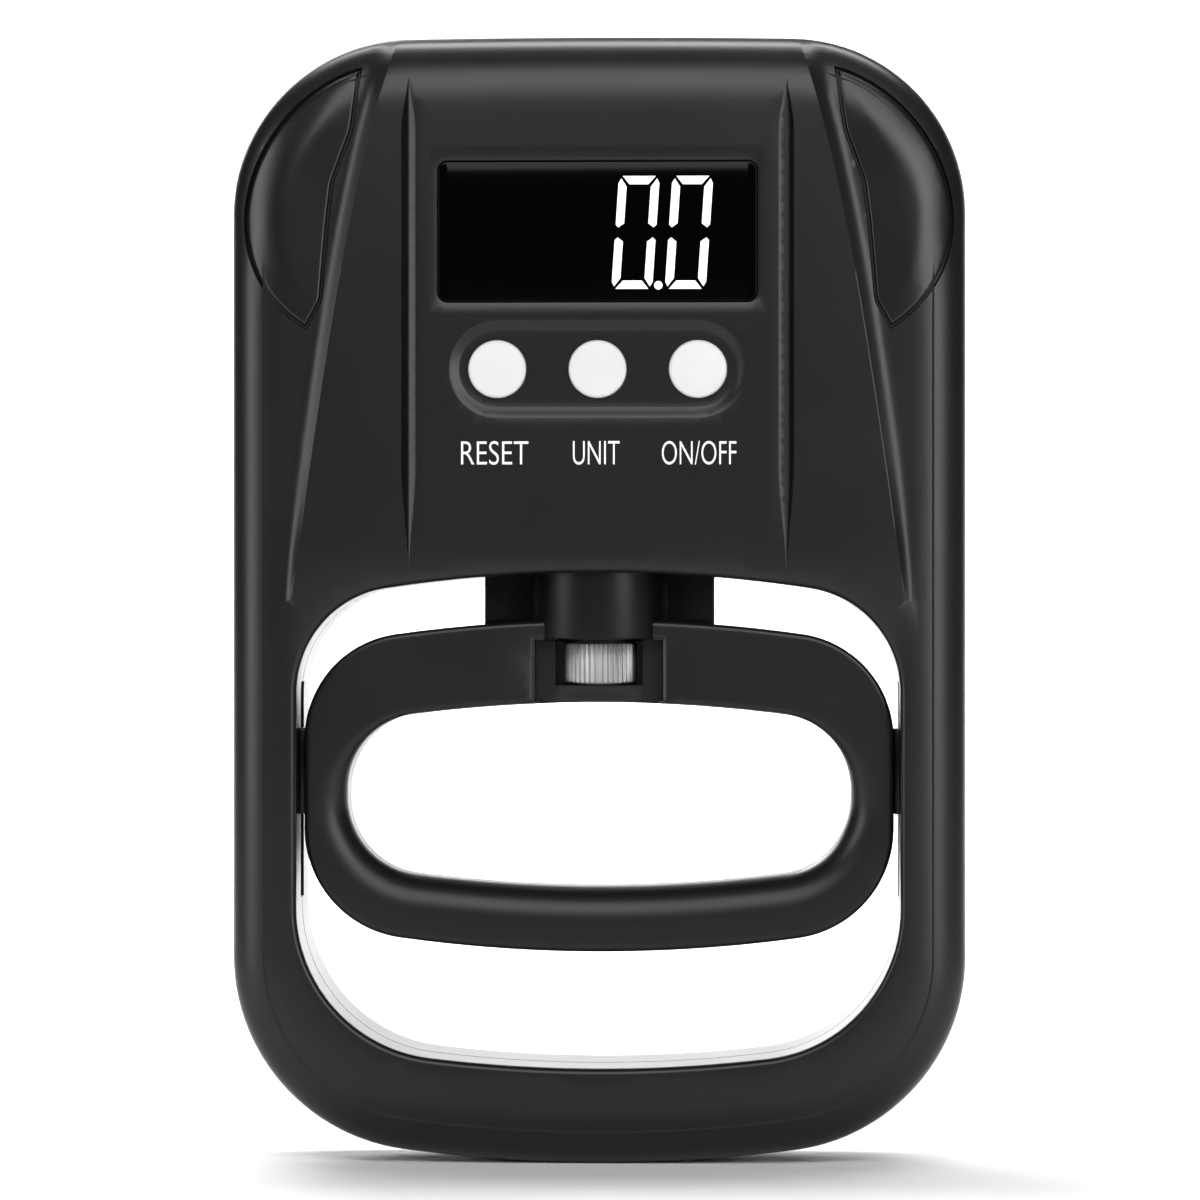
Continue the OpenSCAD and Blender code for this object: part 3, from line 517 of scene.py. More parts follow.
def material(name, colour, rough, grain=0.0, grain_scale=2500, metal=0.0, specular=0.5, coat=0.0, wear=0.06):
    """Moulded plastic or metal: fine grain in the bump, and slow variation of colour and roughness."""
    m = bpy.data.materials.new(name)
    m.use_nodes = True
    nodes, links = m.node_tree.nodes, m.node_tree.links
    shader = nodes["Principled BSDF"]
    shader.inputs["Metallic"].default_value = metal
    shader.inputs["Specular IOR Level"].default_value = specular
    shader.inputs["Coat Weight"].default_value = coat
    shader.inputs["Coat Roughness"].default_value = 0.1
    where = nodes.new("ShaderNodeTexCoord")

    slow = nodes.new("ShaderNodeTexNoise")
    slow.inputs["Scale"].default_value = 55
    slow.inputs["Detail"].default_value = 4
    links.new(where.outputs["Object"], slow.inputs["Vector"])

    tint = nodes.new("ShaderNodeMix")
    tint.data_type = "RGBA"
    links.new(slow.outputs["Fac"], tint.inputs["Factor"])
    tint.inputs["A"].default_value = (*[c * (1 - 1.6 * wear) for c in colour], 1)
    tint.inputs["B"].default_value = (*[min(1, c * (1 + 1.6 * wear)) for c in colour], 1)
    links.new(tint.outputs["Result"], shader.inputs["Base Color"])

    spread = nodes.new("ShaderNodeMath")
    spread.operation = "MULTIPLY_ADD"
    links.new(slow.outputs["Fac"], spread.inputs[0])
    spread.inputs[1].default_value = rough * wear * 3
    spread.inputs[2].default_value = rough * (1 - wear * 1.5)
    links.new(spread.outputs["Value"], shader.inputs["Roughness"])

    if grain:
        fine = nodes.new("ShaderNodeTexNoise")
        fine.inputs["Scale"].default_value = grain_scale
        fine.inputs["Detail"].default_value = 3
        fine.inputs["Roughness"].default_value = 0.6
        links.new(where.outputs["Object"], fine.inputs["Vector"])
        bump = nodes.new("ShaderNodeBump")
        bump.inputs["Strength"].default_value = grain
        bump.inputs["Distance"].default_value = 0.00006
        links.new(fine.outputs["Fac"], bump.inputs["Height"])
        links.new(bump.outputs["Normal"], shader.inputs["Normal"])
    return m


def lathe_metal(name, colour, rough, axis=2):
    """Turned metal: fine rings across the axis and slow stains."""
    m = material(name, colour, rough, metal=1.0, wear=0.1)
    nodes, links = m.node_tree.nodes, m.node_tree.links
    shader = nodes["Principled BSDF"]
    where = next(n for n in nodes if n.type == "TEX_COORD")
    stretch = nodes.new("ShaderNodeMapping")
    scale = [60, 60, 60]
    scale[axis] = 5200
    stretch.inputs["Scale"].default_value = scale
    rings = nodes.new("ShaderNodeTexNoise")
    rings.inputs["Scale"].default_value = 1
    rings.inputs["Detail"].default_value = 2
    bump = nodes.new("ShaderNodeBump")
    bump.inputs["Strength"].default_value = 0.25
    bump.inputs["Distance"].default_value = 0.00004
    links.new(where.outputs["Object"], stretch.inputs["Vector"])
    links.new(stretch.outputs["Vector"], rings.inputs["Vector"])
    links.new(rings.outputs["Fac"], bump.inputs["Height"])
    links.new(bump.outputs["Normal"], shader.inputs["Normal"])
    return m


def glowing(name, colour, strength):
    """Lit display segment."""
    m = material(name, colour, 0.4, wear=0.03)
    shader = m.node_tree.nodes["Principled BSDF"]
    shader.inputs["Emission Color"].default_value = (*colour, 1)
    shader.inputs["Emission Strength"].default_value = strength
    return m


CASING = material("casing_black", (0.0055, 0.0055, 0.006), 0.32, grain=0.16, grain_scale=3200, specular=0.35)
HANDLE_BLACK = material("handle_black", (0.005, 0.005, 0.0054), 0.34, grain=0.18, grain_scale=3200,
                        specular=0.32)
TRIM = material("trim_black", (0.0045, 0.0045, 0.005), 0.29, grain=0.08, grain_scale=2600, specular=0.38)
NECK = material("neck_black", (0.002, 0.002, 0.0022), 0.33, grain=0.05, specular=0.22)
# Darker copy of the neck's black for the neck's flat wings: painted shade, since the wings are the same moulding
# as the boss
PAINTED_SHADE_WINGS = material("wing_black_painted_shade", (0.0012, 0.0012, 0.0013), 0.25, grain=0.05, specular=0.15)
LENS = material("lens_black", (0.0006, 0.0006, 0.0007), 0.06, specular=0.12, wear=0.02)
BUTTON = material("button_grey", (0.60, 0.60, 0.60), 0.45, grain=0.12, grain_scale=2600, specular=0.4)
PRINT = material("print_white", (0.78, 0.78, 0.78), 0.5, grain=0.1)
DIGITS = glowing("digit_white", (0.80, 0.82, 0.83), 0.72)
CHROME = lathe_metal("wheel_nickel", (0.42, 0.42, 0.43), 0.48)
STEEL = lathe_metal("screw_steel", (0.5, 0.5, 0.52), 0.3, axis=1)
BRONZE = lathe_metal("bearing_bronze", (0.020, 0.016, 0.011), 0.5)
ALUMINIUM = lathe_metal("cell_aluminium", (0.72, 0.73, 0.75), 0.33, axis=0)
NICKEL = lathe_metal("contact_nickel", (0.62, 0.61, 0.58), 0.25, axis=0)
ACETAL = material("acetal_white", (0.72, 0.71, 0.67), 0.4, grain=0.1)
RESIN = material("sealant_white", (0.8, 0.79, 0.75), 0.35, grain=0.25, grain_scale=900)
BOARD = material("board_green", (0.012, 0.09, 0.04), 0.28, grain=0.3, grain_scale=1500, coat=0.4)
CHIP = material("chip_black", (0.016, 0.016, 0.017), 0.5, grain=0.3)
ZEBRA = material("zebra_pink", (0.6, 0.28, 0.32), 0.6, grain=0.2)
WIRE = material("wire_red", (0.42, 0.03, 0.025), 0.35, grain=0.05)
JACKET = material("battery_jacket", (0.36, 0.27, 0.05), 0.22, metal=0.5, grain=0.03)
JACKET_BLACK = material("battery_black", (0.015, 0.015, 0.017), 0.22, grain=0.03, coat=0.4)


def dress(obj, mat):
    obj.data.materials.clear()
    obj.data.materials.append(mat)
    return obj


def place(obj, mat, body, slot, *nodes):
    """Gives a finished piece its material and body, and hides the CAD nodes that it stands for; slot is not used.
    """
    dress(obj, mat)
    if nodes:
        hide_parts(*nodes)
    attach(obj, body)
    return obj


# ---- casings

def neck_cutters(r, half_w, half_d, shaft_low, wings_low, high):
    """Cutters with room for the round neck and for its flat wings."""
    shaft = turned("cut_neck", [(r, shaft_low), (r, high)], "Z", (0, 0))
    wings = box_object("cut_wings", (-half_w, -half_d, wings_low), (half_w, half_d, high))
    return shaft, wings


GROOVE_LOW, GROOVE_HIGH = 45, 82        # heights between which the guide shoes slide
SHOE_INSET = 1                          # a shoe's skin is narrower than the CAD shoe by this on each side
GROOVE_INSET = SHOE_INSET - 0.07
NECK_ROOM = (12.45, 20.2, 3.5, 98, 98, 107)


def cut_casing(obj):
    """Cuts the way of the neck and the guide shoes' grooves."""
    low, high = box_mm("right_guide_shoe")
    grooves = []
    for side in (-1, 1):
        x = sorted((side * (OPENING[0] - 1), side * (high[0] + 0.2)))
        grooves.append(box_object("cut_groove", (x[0], low[1] + GROOVE_INSET, GROOVE_LOW),
                                  (x[1], high[1] - GROOVE_INSET, GROOVE_HIGH)))
    return cut(obj, *neck_cutters(*NECK_ROOM), *grooves)


def casing_ring(shell, side, skin_outer, skin_inner):
    """Straight sides, seam and hollow of a casing half; side is -1 in front."""
    seam_y = side * SEAM
    outer_in, hole_in = barrel(FRAME, -SEAM), barrel(OPENING, SEAM)
    hollow, island = barrel(FRAME, -HOLLOW_INSET), barrel(OPENING, OPENING_WALL)
    for wall, skin, tucked, inner in ((OUTER, skin_outer, outer_in, hollow), (HOLE, skin_inner, hole_in, island)):
        shell.strip(wall, skin, wall, skin - side * FIRST_STRIP)
        shell.strip(wall, skin - side * FIRST_STRIP, wall, seam_y)
        shell.strip(wall, seam_y, tucked, 0)
        shell.strip(tucked, 0, inner, 0)
        shell.strip(inner, 0, inner, side * HOLLOW_Y)
    return hollow, island


# Distances from the outline and from the opening of the loops that carry the rounded edges
EDGE_LOOPS = (0.25, 0.7, 1.3, 2.1, 3.0, 4.1, 5.3, 6.6, 8.0, 9.3)
RING_LOOPS = (0.12, 0.35, 0.7, 1.1)


def grid(step, margin):
    """Points a step apart on the casing's face, away from its edges."""
    xs = np.arange(-HALF_W, HALF_W + step, step)
    zs = np.arange(0.37, TOP_Z, step)
    points = np.array([(x + 0.11, z) for x in xs for z in zs])
    keep = (depth_in(points, OUTER) > margin) & (-depth_in(points, HOLE) > 1.8)
    return points[keep]


def mirrored(line):
    return line * [-1, 1]


def front_casing():
    shell = Shell()
    loops = [barrel(FRAME, -d) for d in EDGE_LOOPS] + [barrel(OPENING, d) for d in RING_LOOPS]
    loops += [rounded_rect(*DISPLAY_SIZE, z=LENS_Z, d=d) for d in (0.65, 0.2, 0.12, 0, -0.12, -0.3)]
    loops += [rounded_rect(*STADIUM_SIZE, z=BUTTON_Z, d=-d, corner=16) for d in (-0.2, 0, 0.8, 1.55, 1.75)]
    for leaf in LEAVES.values():
        loops += [offset(leaf, d) for d in (0.22, 0.1, 0, -0.12)]
    lines = []
    for d in HIP_STEPS:
        line = HIP + [d, 0]
        lines += [line, mirrored(line)]
    blade_z = np.linspace(BLADE_LOW, BLADE_HIGH, 60)
    for u in (-0.08, 0.08, 0.5, 1, BLADE_END):
        line = np.stack([blade_x(u, blade_z), blade_z], axis=1)
        lines += [line, mirrored(line)]
    lines = [line[(depth_in(line, OUTER) > 0.1) & (-depth_in(line, HOLE) > 0.1)] for line in lines]
    holes = [circle(BUTTON_X[name], BUTTON_Z, BUTTON_HOLE_R) for name in BUTTONS]
    shell.patch(OUTER, [HOLE] + holes, front_depth, loops, lines, grid(2.4, 10.5))
    hollow, island = casing_ring(shell, -1, front_depth(OUTER), front_depth(HOLE))
    shell.patch(hollow, [island] + holes, -HOLLOW_Y)
    for hole in holes:
        shell.strip(hole, front_depth(hole), hole, -HOLLOW_Y)
    obj = cut_casing(shell.build("front_casing_skin"))
    return place(obj, CASING, "frame", "black_casing", "front_casing")


# Screws on the right, at X and Z
CASING_SCREWS = [(46, 176), (50, 108), (27, 9)]
SCREW_HEAD_R = 2.8
SCREW_SEAT_Y = HALF_D - 3.5
COUNTERBORE_R = 3.1
# Battery tub: width, height and corner radius, its middle height, its wall and its floor
TUB = (52, 23.2, 0.6)
TUB_Z = 165
TUB_WALL = 1.2
TUB_Y = 2


def rear_casing():
    shell = Shell()
    loops = [barrel(FRAME, -d) for d in EDGE_LOOPS] + [barrel(OPENING, d) for d in RING_LOOPS]
    pocket = rounded_rect(*DOOR_POCKET, z=DOOR_Z)
    loops += [rounded_rect(*DOOR_POCKET, z=DOOR_Z, d=d) for d in (0.9, 0.6, 0.35, 0.2, 0.08)]
    tub = rounded_rect(*TUB, z=TUB_Z)
    tub_outside = rounded_rect(TUB[0] + 2 * TUB_WALL, TUB[1] + 2 * TUB_WALL, TUB[2], z=TUB_Z)
    bores = [circle(s * x, z, COUNTERBORE_R) for x, z in CASING_SCREWS for s in (-1, 1)]
    loops += [circle(s * x, z, COUNTERBORE_R + 0.5) for x, z in CASING_SCREWS for s in (-1, 1)]
    shell.patch(OUTER, [HOLE, pocket] + bores, rear_depth, loops, (), grid(4, 10))
    hollow, island = casing_ring(shell, 1, rear_depth(OUTER), rear_depth(HOLE))
    shell.patch(hollow, [island, tub_outside], HOLLOW_Y)
    shell.strip(pocket, rear_depth(pocket), pocket, DOOR_POCKET_Y)
    shell.patch(pocket, [tub], DOOR_POCKET_Y)
    shell.strip(tub, DOOR_POCKET_Y, tub, TUB_Y)
    shell.patch(tub, [], TUB_Y)
    shell.strip(tub_outside, HOLLOW_Y, tub_outside, TUB_Y - TUB_WALL)
    shell.patch(tub_outside, [], TUB_Y - TUB_WALL)
    for bore in bores:
        shell.strip(bore, rear_depth(bore), bore, SCREW_SEAT_Y - 0.01)
        shell.patch(bore, [], SCREW_SEAT_Y - 0.01)
    obj = cut_casing(shell.build("rear_casing_skin"))
    return place(obj, CASING, "frame", "black_casing", "rear_casing")


def shoulder_insert(side):
    leaf = LEAVES[side]
    rim = offset(leaf, -LEAF_GAP)
    depth = insert_depth(leaf)
    shell = Shell()
    loops = [offset(leaf, -LEAF_GAP - d) for d in (0.08, 0.22, 0.42, 0.6)]
    step = 1.1
    xs, zs = (np.arange(low, high, step) for low, high in zip(leaf.min(axis=0), leaf.max(axis=0)))
    spots = np.array([(x, z) for x in xs for z in zs])
    spots = spots[depth_in(spots, rim) > step]
    shell.patch(rim, [], depth, loops, (), spots)
    shell.strip(rim, depth(rim), rim, front_base(rim) + LEAF_BACK)
    shell.patch(rim, [], lambda p: front_base(p) + LEAF_BACK)
    obj = shell.build(side + "_insert_skin")
    return place(obj, TRIM, "frame", "black_trim", side + "_shoulder_insert")


# ---- display and buttons

def lens():
    """Window with a rounded front edge."""
    low, high = LENS_LOW, LENS_HIGH
    edge = 0.2
    shell = Shell()
    size = (high[0] - low[0], high[2] - low[2], 1.6)
    back = rounded_rect(*size, z=LENS_Z)
    rings = [(back, high[1]), (back, low[1] + edge)]
    for step in (0.25, 0.5, 0.75, 1):
        a = step * math.pi / 2
        ring = rounded_rect(*size, z=LENS_Z, d=-edge * (1 - math.cos(a)))
        rings.append((ring, low[1] + edge * (1 - math.sin(a))))
    for (loop0, y0), (loop1, y1) in zip(rings, rings[1:]):
        shell.strip(loop0, y0, loop1, y1)
    shell.patch(back, [], high[1])
    shell.patch(rings[-1][0], [], rings[-1][1])
    return place(shell.build("lens_face"), LENS, "frame", "display_black", "display_lens")


DIGIT_H, DIGIT_W, DIGIT_BAR = 19.1, 6.9, 1.4
DIGIT_GAP = 0.3                 # between the mitred ends of two bars
DIGIT_MIDDLE_GAP = 0.85         # from half height to the end of an upright bar
DIGIT_SLANT = 0.068
DIGIT_Z = LENS_Z - 9.75
DIGIT_XS = (2.35, 11.4)
POINT_R = 0.72
PRINT_T = 0.03                  # how far prints and segments stand out
PRINT_ROOT = 0.02               # how far they reach below the face


def prism(shell, outline, y_front, y_back):
    """Closed plate between two depths."""
    shell.strip(outline, y_front, outline, y_back)
    for y in (y_front, y_back):
        shell.patch(outline, [], y)


def zero_bars():
    """The six mitred bars of a figure 0 in a seven-segment display, in the digit's own frame."""
    w, h, t, g = DIGIT_W, DIGIT_H, DIGIT_BAR, DIGIT_GAP
    top = [(2.2 * g, h), (t + 1.5 * g, h - t), (w - t - 1.5 * g, h - t), (w - 2.2 * g, h)]
    low = h / 2 + DIGIT_MIDDLE_GAP
    left = [(0, h - 1.2 * g - 0.6 * t), (0, low + t / 3), (t / 3, low), (t, low + t / 2),
            (t, h - t - 1.4 * g), (0.3 * t, h - 1.4 * g)]
    bars = [top, left]
    bars += [[(w - x, z) for x, z in left][::-1]]
    return bars + [[(x, h - z) for x, z in bar][::-1] for bar in bars]


def digits():
    """The reading 0.0 as raised segments on the window."""
    shell = Shell()
    front, root = LENS_LOW[1] - PRINT_T, LENS_LOW[1] + PRINT_ROOT
    for x0 in DIGIT_XS:
        for bar in zero_bars():
            outline = np.array([(x0 + x + DIGIT_SLANT * z, DIGIT_Z + z) for x, z in bar])
            following = np.roll(outline, -1, axis=0)
            area = np.sum(outline[:, 0] * following[:, 1] - outline[:, 1] * following[:, 0])
            prism(shell, outline if area > 0 else outline[::-1], front, root)
    prism(shell, circle(DIGIT_XS[1] - 1.1, DIGIT_Z + 0.6, POINT_R, 20), front, root)
    return place(shell.build("lcd_figures"), DIGITS, "frame", "white_plastic")


LABEL_H = 4.0
LABEL_Z = BUTTON_Z - 16.2
# Word, middle and width of each label
LABELS = (("RESET", -17.4, 11.4), ("UNIT", -0.2, 7.9), ("ON/OFF", 17.2, 12.6))


def label(words, x, width):
    """Flat printed word, stretched to its measured width and height."""
    curve = bpy.data.curves.new("label", "FONT")
    curve.body = words
    curve.offset = -0.008
    curve.resolution_u = 6
    text = linked("label", curve)
    mesh = bpy.data.meshes.new_from_object(text.evaluated_get(bpy.context.evaluated_depsgraph_get()))
    bpy.data.objects.remove(text)
    bm = bmesh.new()
    bm.from_mesh(mesh)
    bmesh.ops.remove_doubles(bm, verts=bm.verts, dist=1e-5)
    low = [min(v.co[i] for v in bm.verts) for i in (0, 1)]
    high = [max(v.co[i] for v in bm.verts) for i in (0, 1)]
    for v in bm.verts:
        u = (v.co.x - low[0]) / (high[0] - low[0])
        w = (v.co.y - low[1]) / (high[1] - low[1])
        v.co = Vector((x + (u - 0.5) * width, HOOD_Y - PRINT_T, LABEL_Z + w * LABEL_H)) * MM
    extruded = bmesh.ops.extrude_face_region(bm, geom=bm.faces[:])
    for v in extruded["geom"]:
        if isinstance(v, bmesh.types.BMVert):
            v.co.y = (HOOD_Y + PRINT_ROOT) * MM
    bmesh.ops.recalc_face_normals(bm, faces=bm.faces)
    bm.to_mesh(mesh)
    bm.free()
    obj = add_object("label_" + words.lower().replace("/", "_"), mesh)
    return place(obj, PRINT, "frame", "button_white")


BUTTON_EDGE = 0.7               # width of the rounded edge
BUTTON_CROWN = 0.12
FLANGE = 0.9                    # width and thickness of the flange behind the casing
FLANGE_Y = -HALF_D + 2.5
STEM_R = 2


def button(name):
    """Crowned cap with a rounded edge, a flange and a stem."""
    low, high = BUTTONS[name]
    front = low[1]
    flat_r = BUTTON_R - BUTTON_EDGE
    profile = [(0.01, front)]
    profile += [(flat_r * i / 12, front + BUTTON_CROWN * (i / 12) ** 2) for i in range(1, 13)]
    for i in range(1, 7):
        a = math.pi / 2 * i / 6
        profile.append((flat_r + BUTTON_EDGE * math.sin(a), front + BUTTON_CROWN + 0.6 * (1 - math.cos(a))))
    profile += [(BUTTON_R, FLANGE_Y), (BUTTON_R + FLANGE, FLANGE_Y), (BUTTON_R + FLANGE, FLANGE_Y + FLANGE),
                (STEM_R, FLANGE_Y + FLANGE), (STEM_R, high[1])]
    obj = turned(name + "_cap", profile, "Y", (BUTTON_X[name], BUTTON_Z), n=72)
    return place(obj, BUTTON, name, "button_white", name + "_button")


# ---- handle, neck and wheel

HANDLE_OUTER = barrel(HANDLE)
FINGER_HOLE = barrel(FINGERS)
# Window of the wheel: half widths and sills in front and behind, and its top
WINDOW_X, REAR_WINDOW_X = 7.45, 5.55
WINDOW_LOW, REAR_WINDOW_LOW = 81.4, 82.4
WINDOW_HIGH = 89.3
# Recessed panel round the window, with the loops that carry its raised lip
PANEL_X = 11.1
PANEL_Y = HANDLE_HALF_D - 3
PANEL_STEPS = (-0.55, -0.3, 0.04, 0.12, 0.2, 0.3, 0.4)
PANEL_LIP = 0.36
HANDLE_EDGE, HANDLE_EDGE_DEEP = 0.9, 0.8
GRIP_EDGE, GRIP_WIDENING = 0.9, 5.4     # rounding round the fingers, and what it gains at the lower bar
HANDLE_SEAM = 0.2
HANDLE_NECK_ROOM = (12.2, 19.8, 3.1, WINDOW_HIGH - 0.01, 88.9, 96)
SHOE_HALF_D, SHOE_LOW, SHOE_HIGH = 3, 60.3, 73      # notch for a guide shoe in the handle's side
HANDLE_SCREWS = [(40.5, 79.3), (41.5, 48.4)]
HANDLE_COUNTERBORE_R = 2.4


def handle_depth(p):
    """Distance of the handle's face from its middle plane."""
    edge = depth_in(p, HANDLE_OUTER)
    grip = -depth_in(p, FINGER_HOLE)
    z = p[:, 1]
    soft = GRIP_EDGE + GRIP_WIDENING * (1 - smooth(56, 78, z))
    y = HANDLE_HALF_D - rounding(edge, HANDLE_EDGE, HANDLE_EDGE_DEEP) - rounding(grip, soft, 0.75 * soft)
    panel_edge = np.minimum(PANEL_X - np.abs(p[:, 0]), WINDOW_HIGH - z)
    dish = 1.0 * smooth(WINDOW_LOW - 0.2, 78.4, z) * smooth(8, 4, np.abs(p[:, 0]))
    lip = PANEL_LIP * np.clip((panel_edge + 0.55) / 0.6, 0, 1)
    return y + ((PANEL_Y - dish - y) * smooth(0.05, 0.4, panel_edge) - lip * (panel_edge < 0.05)) * (z > 62)


def handle_half(side):
    """Half of the handle; side is -1 in front."""
    name = {-1: "front", 1: "rear"}[side]
    shell = Shell()
    window_w = 2 * (WINDOW_X if side < 0 else REAR_WINDOW_X)
    sill = WINDOW_LOW if side < 0 else REAR_WINDOW_LOW
    right = [(window_w / 2, sill)] + [(window_w / 2, WINDOW_HIGH - d) for d in PANEL_STEPS[::-1] if d > 0]
    right.append((window_w / 2, WINDOW_HIGH + 0.2))
    window = np.array([(-window_w / 2, sill)] + right + [(-x, z) for x, z in right[:0:-1]])
    loops = [barrel(HANDLE, -d) for d in (0.1, 0.28, 0.55, 0.9, 1.5)]
    loops += [barrel(FINGERS, d) for d in (0.2, 0.5, 0.9, 1.4)]
    lines = []
    for d in (2.0, 2.7, 3.5, 4.4, 5.4, 6.4):
        loop = barrel(FINGERS, d)
        low = loop[:, 1] < 76
        lines.append(np.roll(loop, -1 - np.flatnonzero(~low)[-1], axis=0)[:low.sum()])
    for d in PANEL_STEPS:
        x, z = PANEL_X - d, WINDOW_HIGH - d
        left = [(-x, 78.9), (-x, 81), (-x, 85), (-x, z), (-5, z)]
        lines.append(np.array(left + [(-x, z) for x, z in left[::-1]]))
    spots = np.array([(x, z) for x in np.arange(-10, 10.1, 1.25) for z in (79.2, 80, 80.8)])

    def face(p):
        return side * handle_depth(p)

    shell.patch(HANDLE_OUTER, [FINGER_HOLE, window], face, loops, lines, spots)
    outer_in, grip_in = barrel(HANDLE, -HANDLE_SEAM), barrel(FINGERS, HANDLE_SEAM)
    for loop, tucked in ((HANDLE_OUTER, outer_in), (FINGER_HOLE, grip_in)):
        shell.strip(loop, face(loop), loop, face(loop) - side * FIRST_STRIP)
        shell.strip(loop, face(loop) - side * FIRST_STRIP, loop, side * HANDLE_SEAM)
        shell.strip(loop, side * HANDLE_SEAM, tucked, 0)
    shell.strip(window, face(window), window, 0)
    shell.patch(outer_in, [grip_in, window], 0)
    obj = shell.build("handle_%s_skin" % name)
    cutters = list(neck_cutters(*HANDLE_NECK_ROOM))
    for s in (-1, 1):
        x = sorted((s * (HANDLE[0] - 2.5), s * (HANDLE[0] + 1)))
        cutters.append(box_object("cut_shoe", (x[0], -SHOE_HALF_D, SHOE_LOW), (x[1], SHOE_HALF_D, SHOE_HIGH)))
    if side > 0:
        bore = [(HANDLE_COUNTERBORE_R, y) for y in (HANDLE_HALF_D - 2.21, HANDLE_HALF_D + 2)]
        for x, z in HANDLE_SCREWS:
            cutters += [turned("cut_screw", bore, "Y", (s * x, z), n=40) for s in (-1, 1)]
    cut(obj, *cutters)
    return place(obj, HANDLE_BLACK, "handle", "black_handle", "handle_" + name)


NECK_R, NECK_EDGE = 12.15, 0.35
NECK_BORE_R, NECK_BORE_Z = 7.57, 92.4
WINGS_SIZE = (19.7, 3)          # half width and half depth
WINGS_TOP = 118


def neck():
    """Round boss with a bore for the socket, and flat wings that meet it."""
    low, high = box_mm("handle_neck")
    profile = corner_profile(NECK_R, WINDOW_HIGH + 0.005, high[2], NECK_EDGE)
    obj = turned("neck_boss", profile, "Z", (0, 0), n=128)
    w, d = WINGS_SIZE
    wings = box_object("neck_wings", (-w, -d, low[2]), (w, d, WINGS_TOP), NECK_EDGE)
    cut(obj, turned("cut_bore", [(NECK_BORE_R, NECK_BORE_Z), (NECK_BORE_R, high[2] + 1)], "Z", (0, 0)))
    cut(wings, turned("cut_bore", [(8, low[2] - 1), (8, WINDOW_HIGH + 0.02)], "Z", (0, 0)),
        turned("cut_boss", [(12.1, WINDOW_HIGH - 0.02), (12.1, 125)], "Z", (0, 0)))
    place(obj, NECK, "handle", "black_handle", "handle_neck")
    # The wings take the darker copy of the neck's black, which paints the shade under the head onto them
    return place(wings, PAINTED_SHADE_WINGS, "handle", "black_handle", "handle_neck")


WHEEL_RIDGES = 42
WHEEL_DIP = 0.34


def wheel():
    """Straight-knurled wheel with bevelled ends."""
    low, high = box_mm("adjusting_wheel")
    n = WHEEL_RIDGES * 8
    turn = 2 * math.pi * np.arange(n) / n
    ripple = WHEEL_DIP * (0.5 - 0.5 * np.cos(WHEEL_RIDGES * turn)) ** 0.8
    # height, how far inside the crests, and whether the knurl runs there
    levels = [(low[2], 0.55, 0), (low[2] + 0.25, 0.12, 1), (low[2] + 0.45, 0, 1),
              (high[2] - 0.45, 0, 1), (high[2] - 0.25, 0.12, 1), (high[2], 0.55, 0)]
    rings = []
    for z, inset, knurl in levels:
        radius = high[0] - inset - knurl * ripple - (1 - knurl) * WHEEL_DIP * 0.5
        rings.append([(q * math.cos(a), q * math.sin(a), z) for q, a in zip(radius, turn)])
    return place(stacked("wheel_knurled", rings, 50), CHROME, "adjuster", "wheel_chrome", "adjusting_wheel")


def guide_shoe(side):
    name = {-1: "left", 1: "right"}[side]
    low, high = box_mm(name + "_guide_shoe")
    x = sorted((side * (HANDLE[0] + 0.03), side * (OPENING[0] + 2.3)))
    obj = box_object(name + "_shoe_block", (x[0], low[1] + SHOE_INSET, low[2]),
                     (x[1], high[1] - SHOE_INSET, high[2]), 0.3)
    return place(obj, TRIM, "handle", "black_trim", name + "_guide_shoe")


# ---- back: screws, door and batteries

def screw(name, x, z, r, seat_y, head_r, head_t, body, node):
    """Pan head with a cross recess on a plain shank."""
    top = seat_y + head_t
    profile = [(0.01, seat_y - 6), (r, seat_y - 6), (r, seat_y), (head_r - 0.15, seat_y), (head_r, seat_y + 0.15)]
    for i in range(1, 8):
        a = math.pi / 2 * i / 7
        profile.append((head_r * math.cos(a) + 0.01, seat_y + 0.3 + (head_t - 0.3) * math.sin(a)))
    obj = turned(name, profile, "Y", (x, z), n=48)
    for turn in (0, 90):
        slot = box_object("cut_slot", (-0.62 * head_r, top - 0.55 * head_t, -0.14 * head_r),
                          (0.62 * head_r, top + 1, 0.14 * head_r))
        slot.data.transform(Matrix.Rotation(math.radians(turn + 20), 4, "Y"))
        slot.data.transform(Matrix.Translation(Vector((x, 0, z)) * MM))
        cut(obj, slot)
    return place(obj, STEEL, body, "screw_steel", node)


def screws():
    casing = (1.5, SCREW_SEAT_Y, SCREW_HEAD_R, 2.2, "frame", "casing_screws")
    handle = (1.2, HANDLE_HALF_D - 2.2, 2.2, 1.6, "handle", "handle_screws")
    for kind, places, rest in (("casing", CASING_SCREWS, casing), ("handle", HANDLE_SCREWS, handle)):
        for i, (x, z) in enumerate(places):
            for s, mark in ((-1, "left"), (1, "right")):
                screw("%s_screw_%s_%d" % (kind, mark, i), s * x, z, *rest)


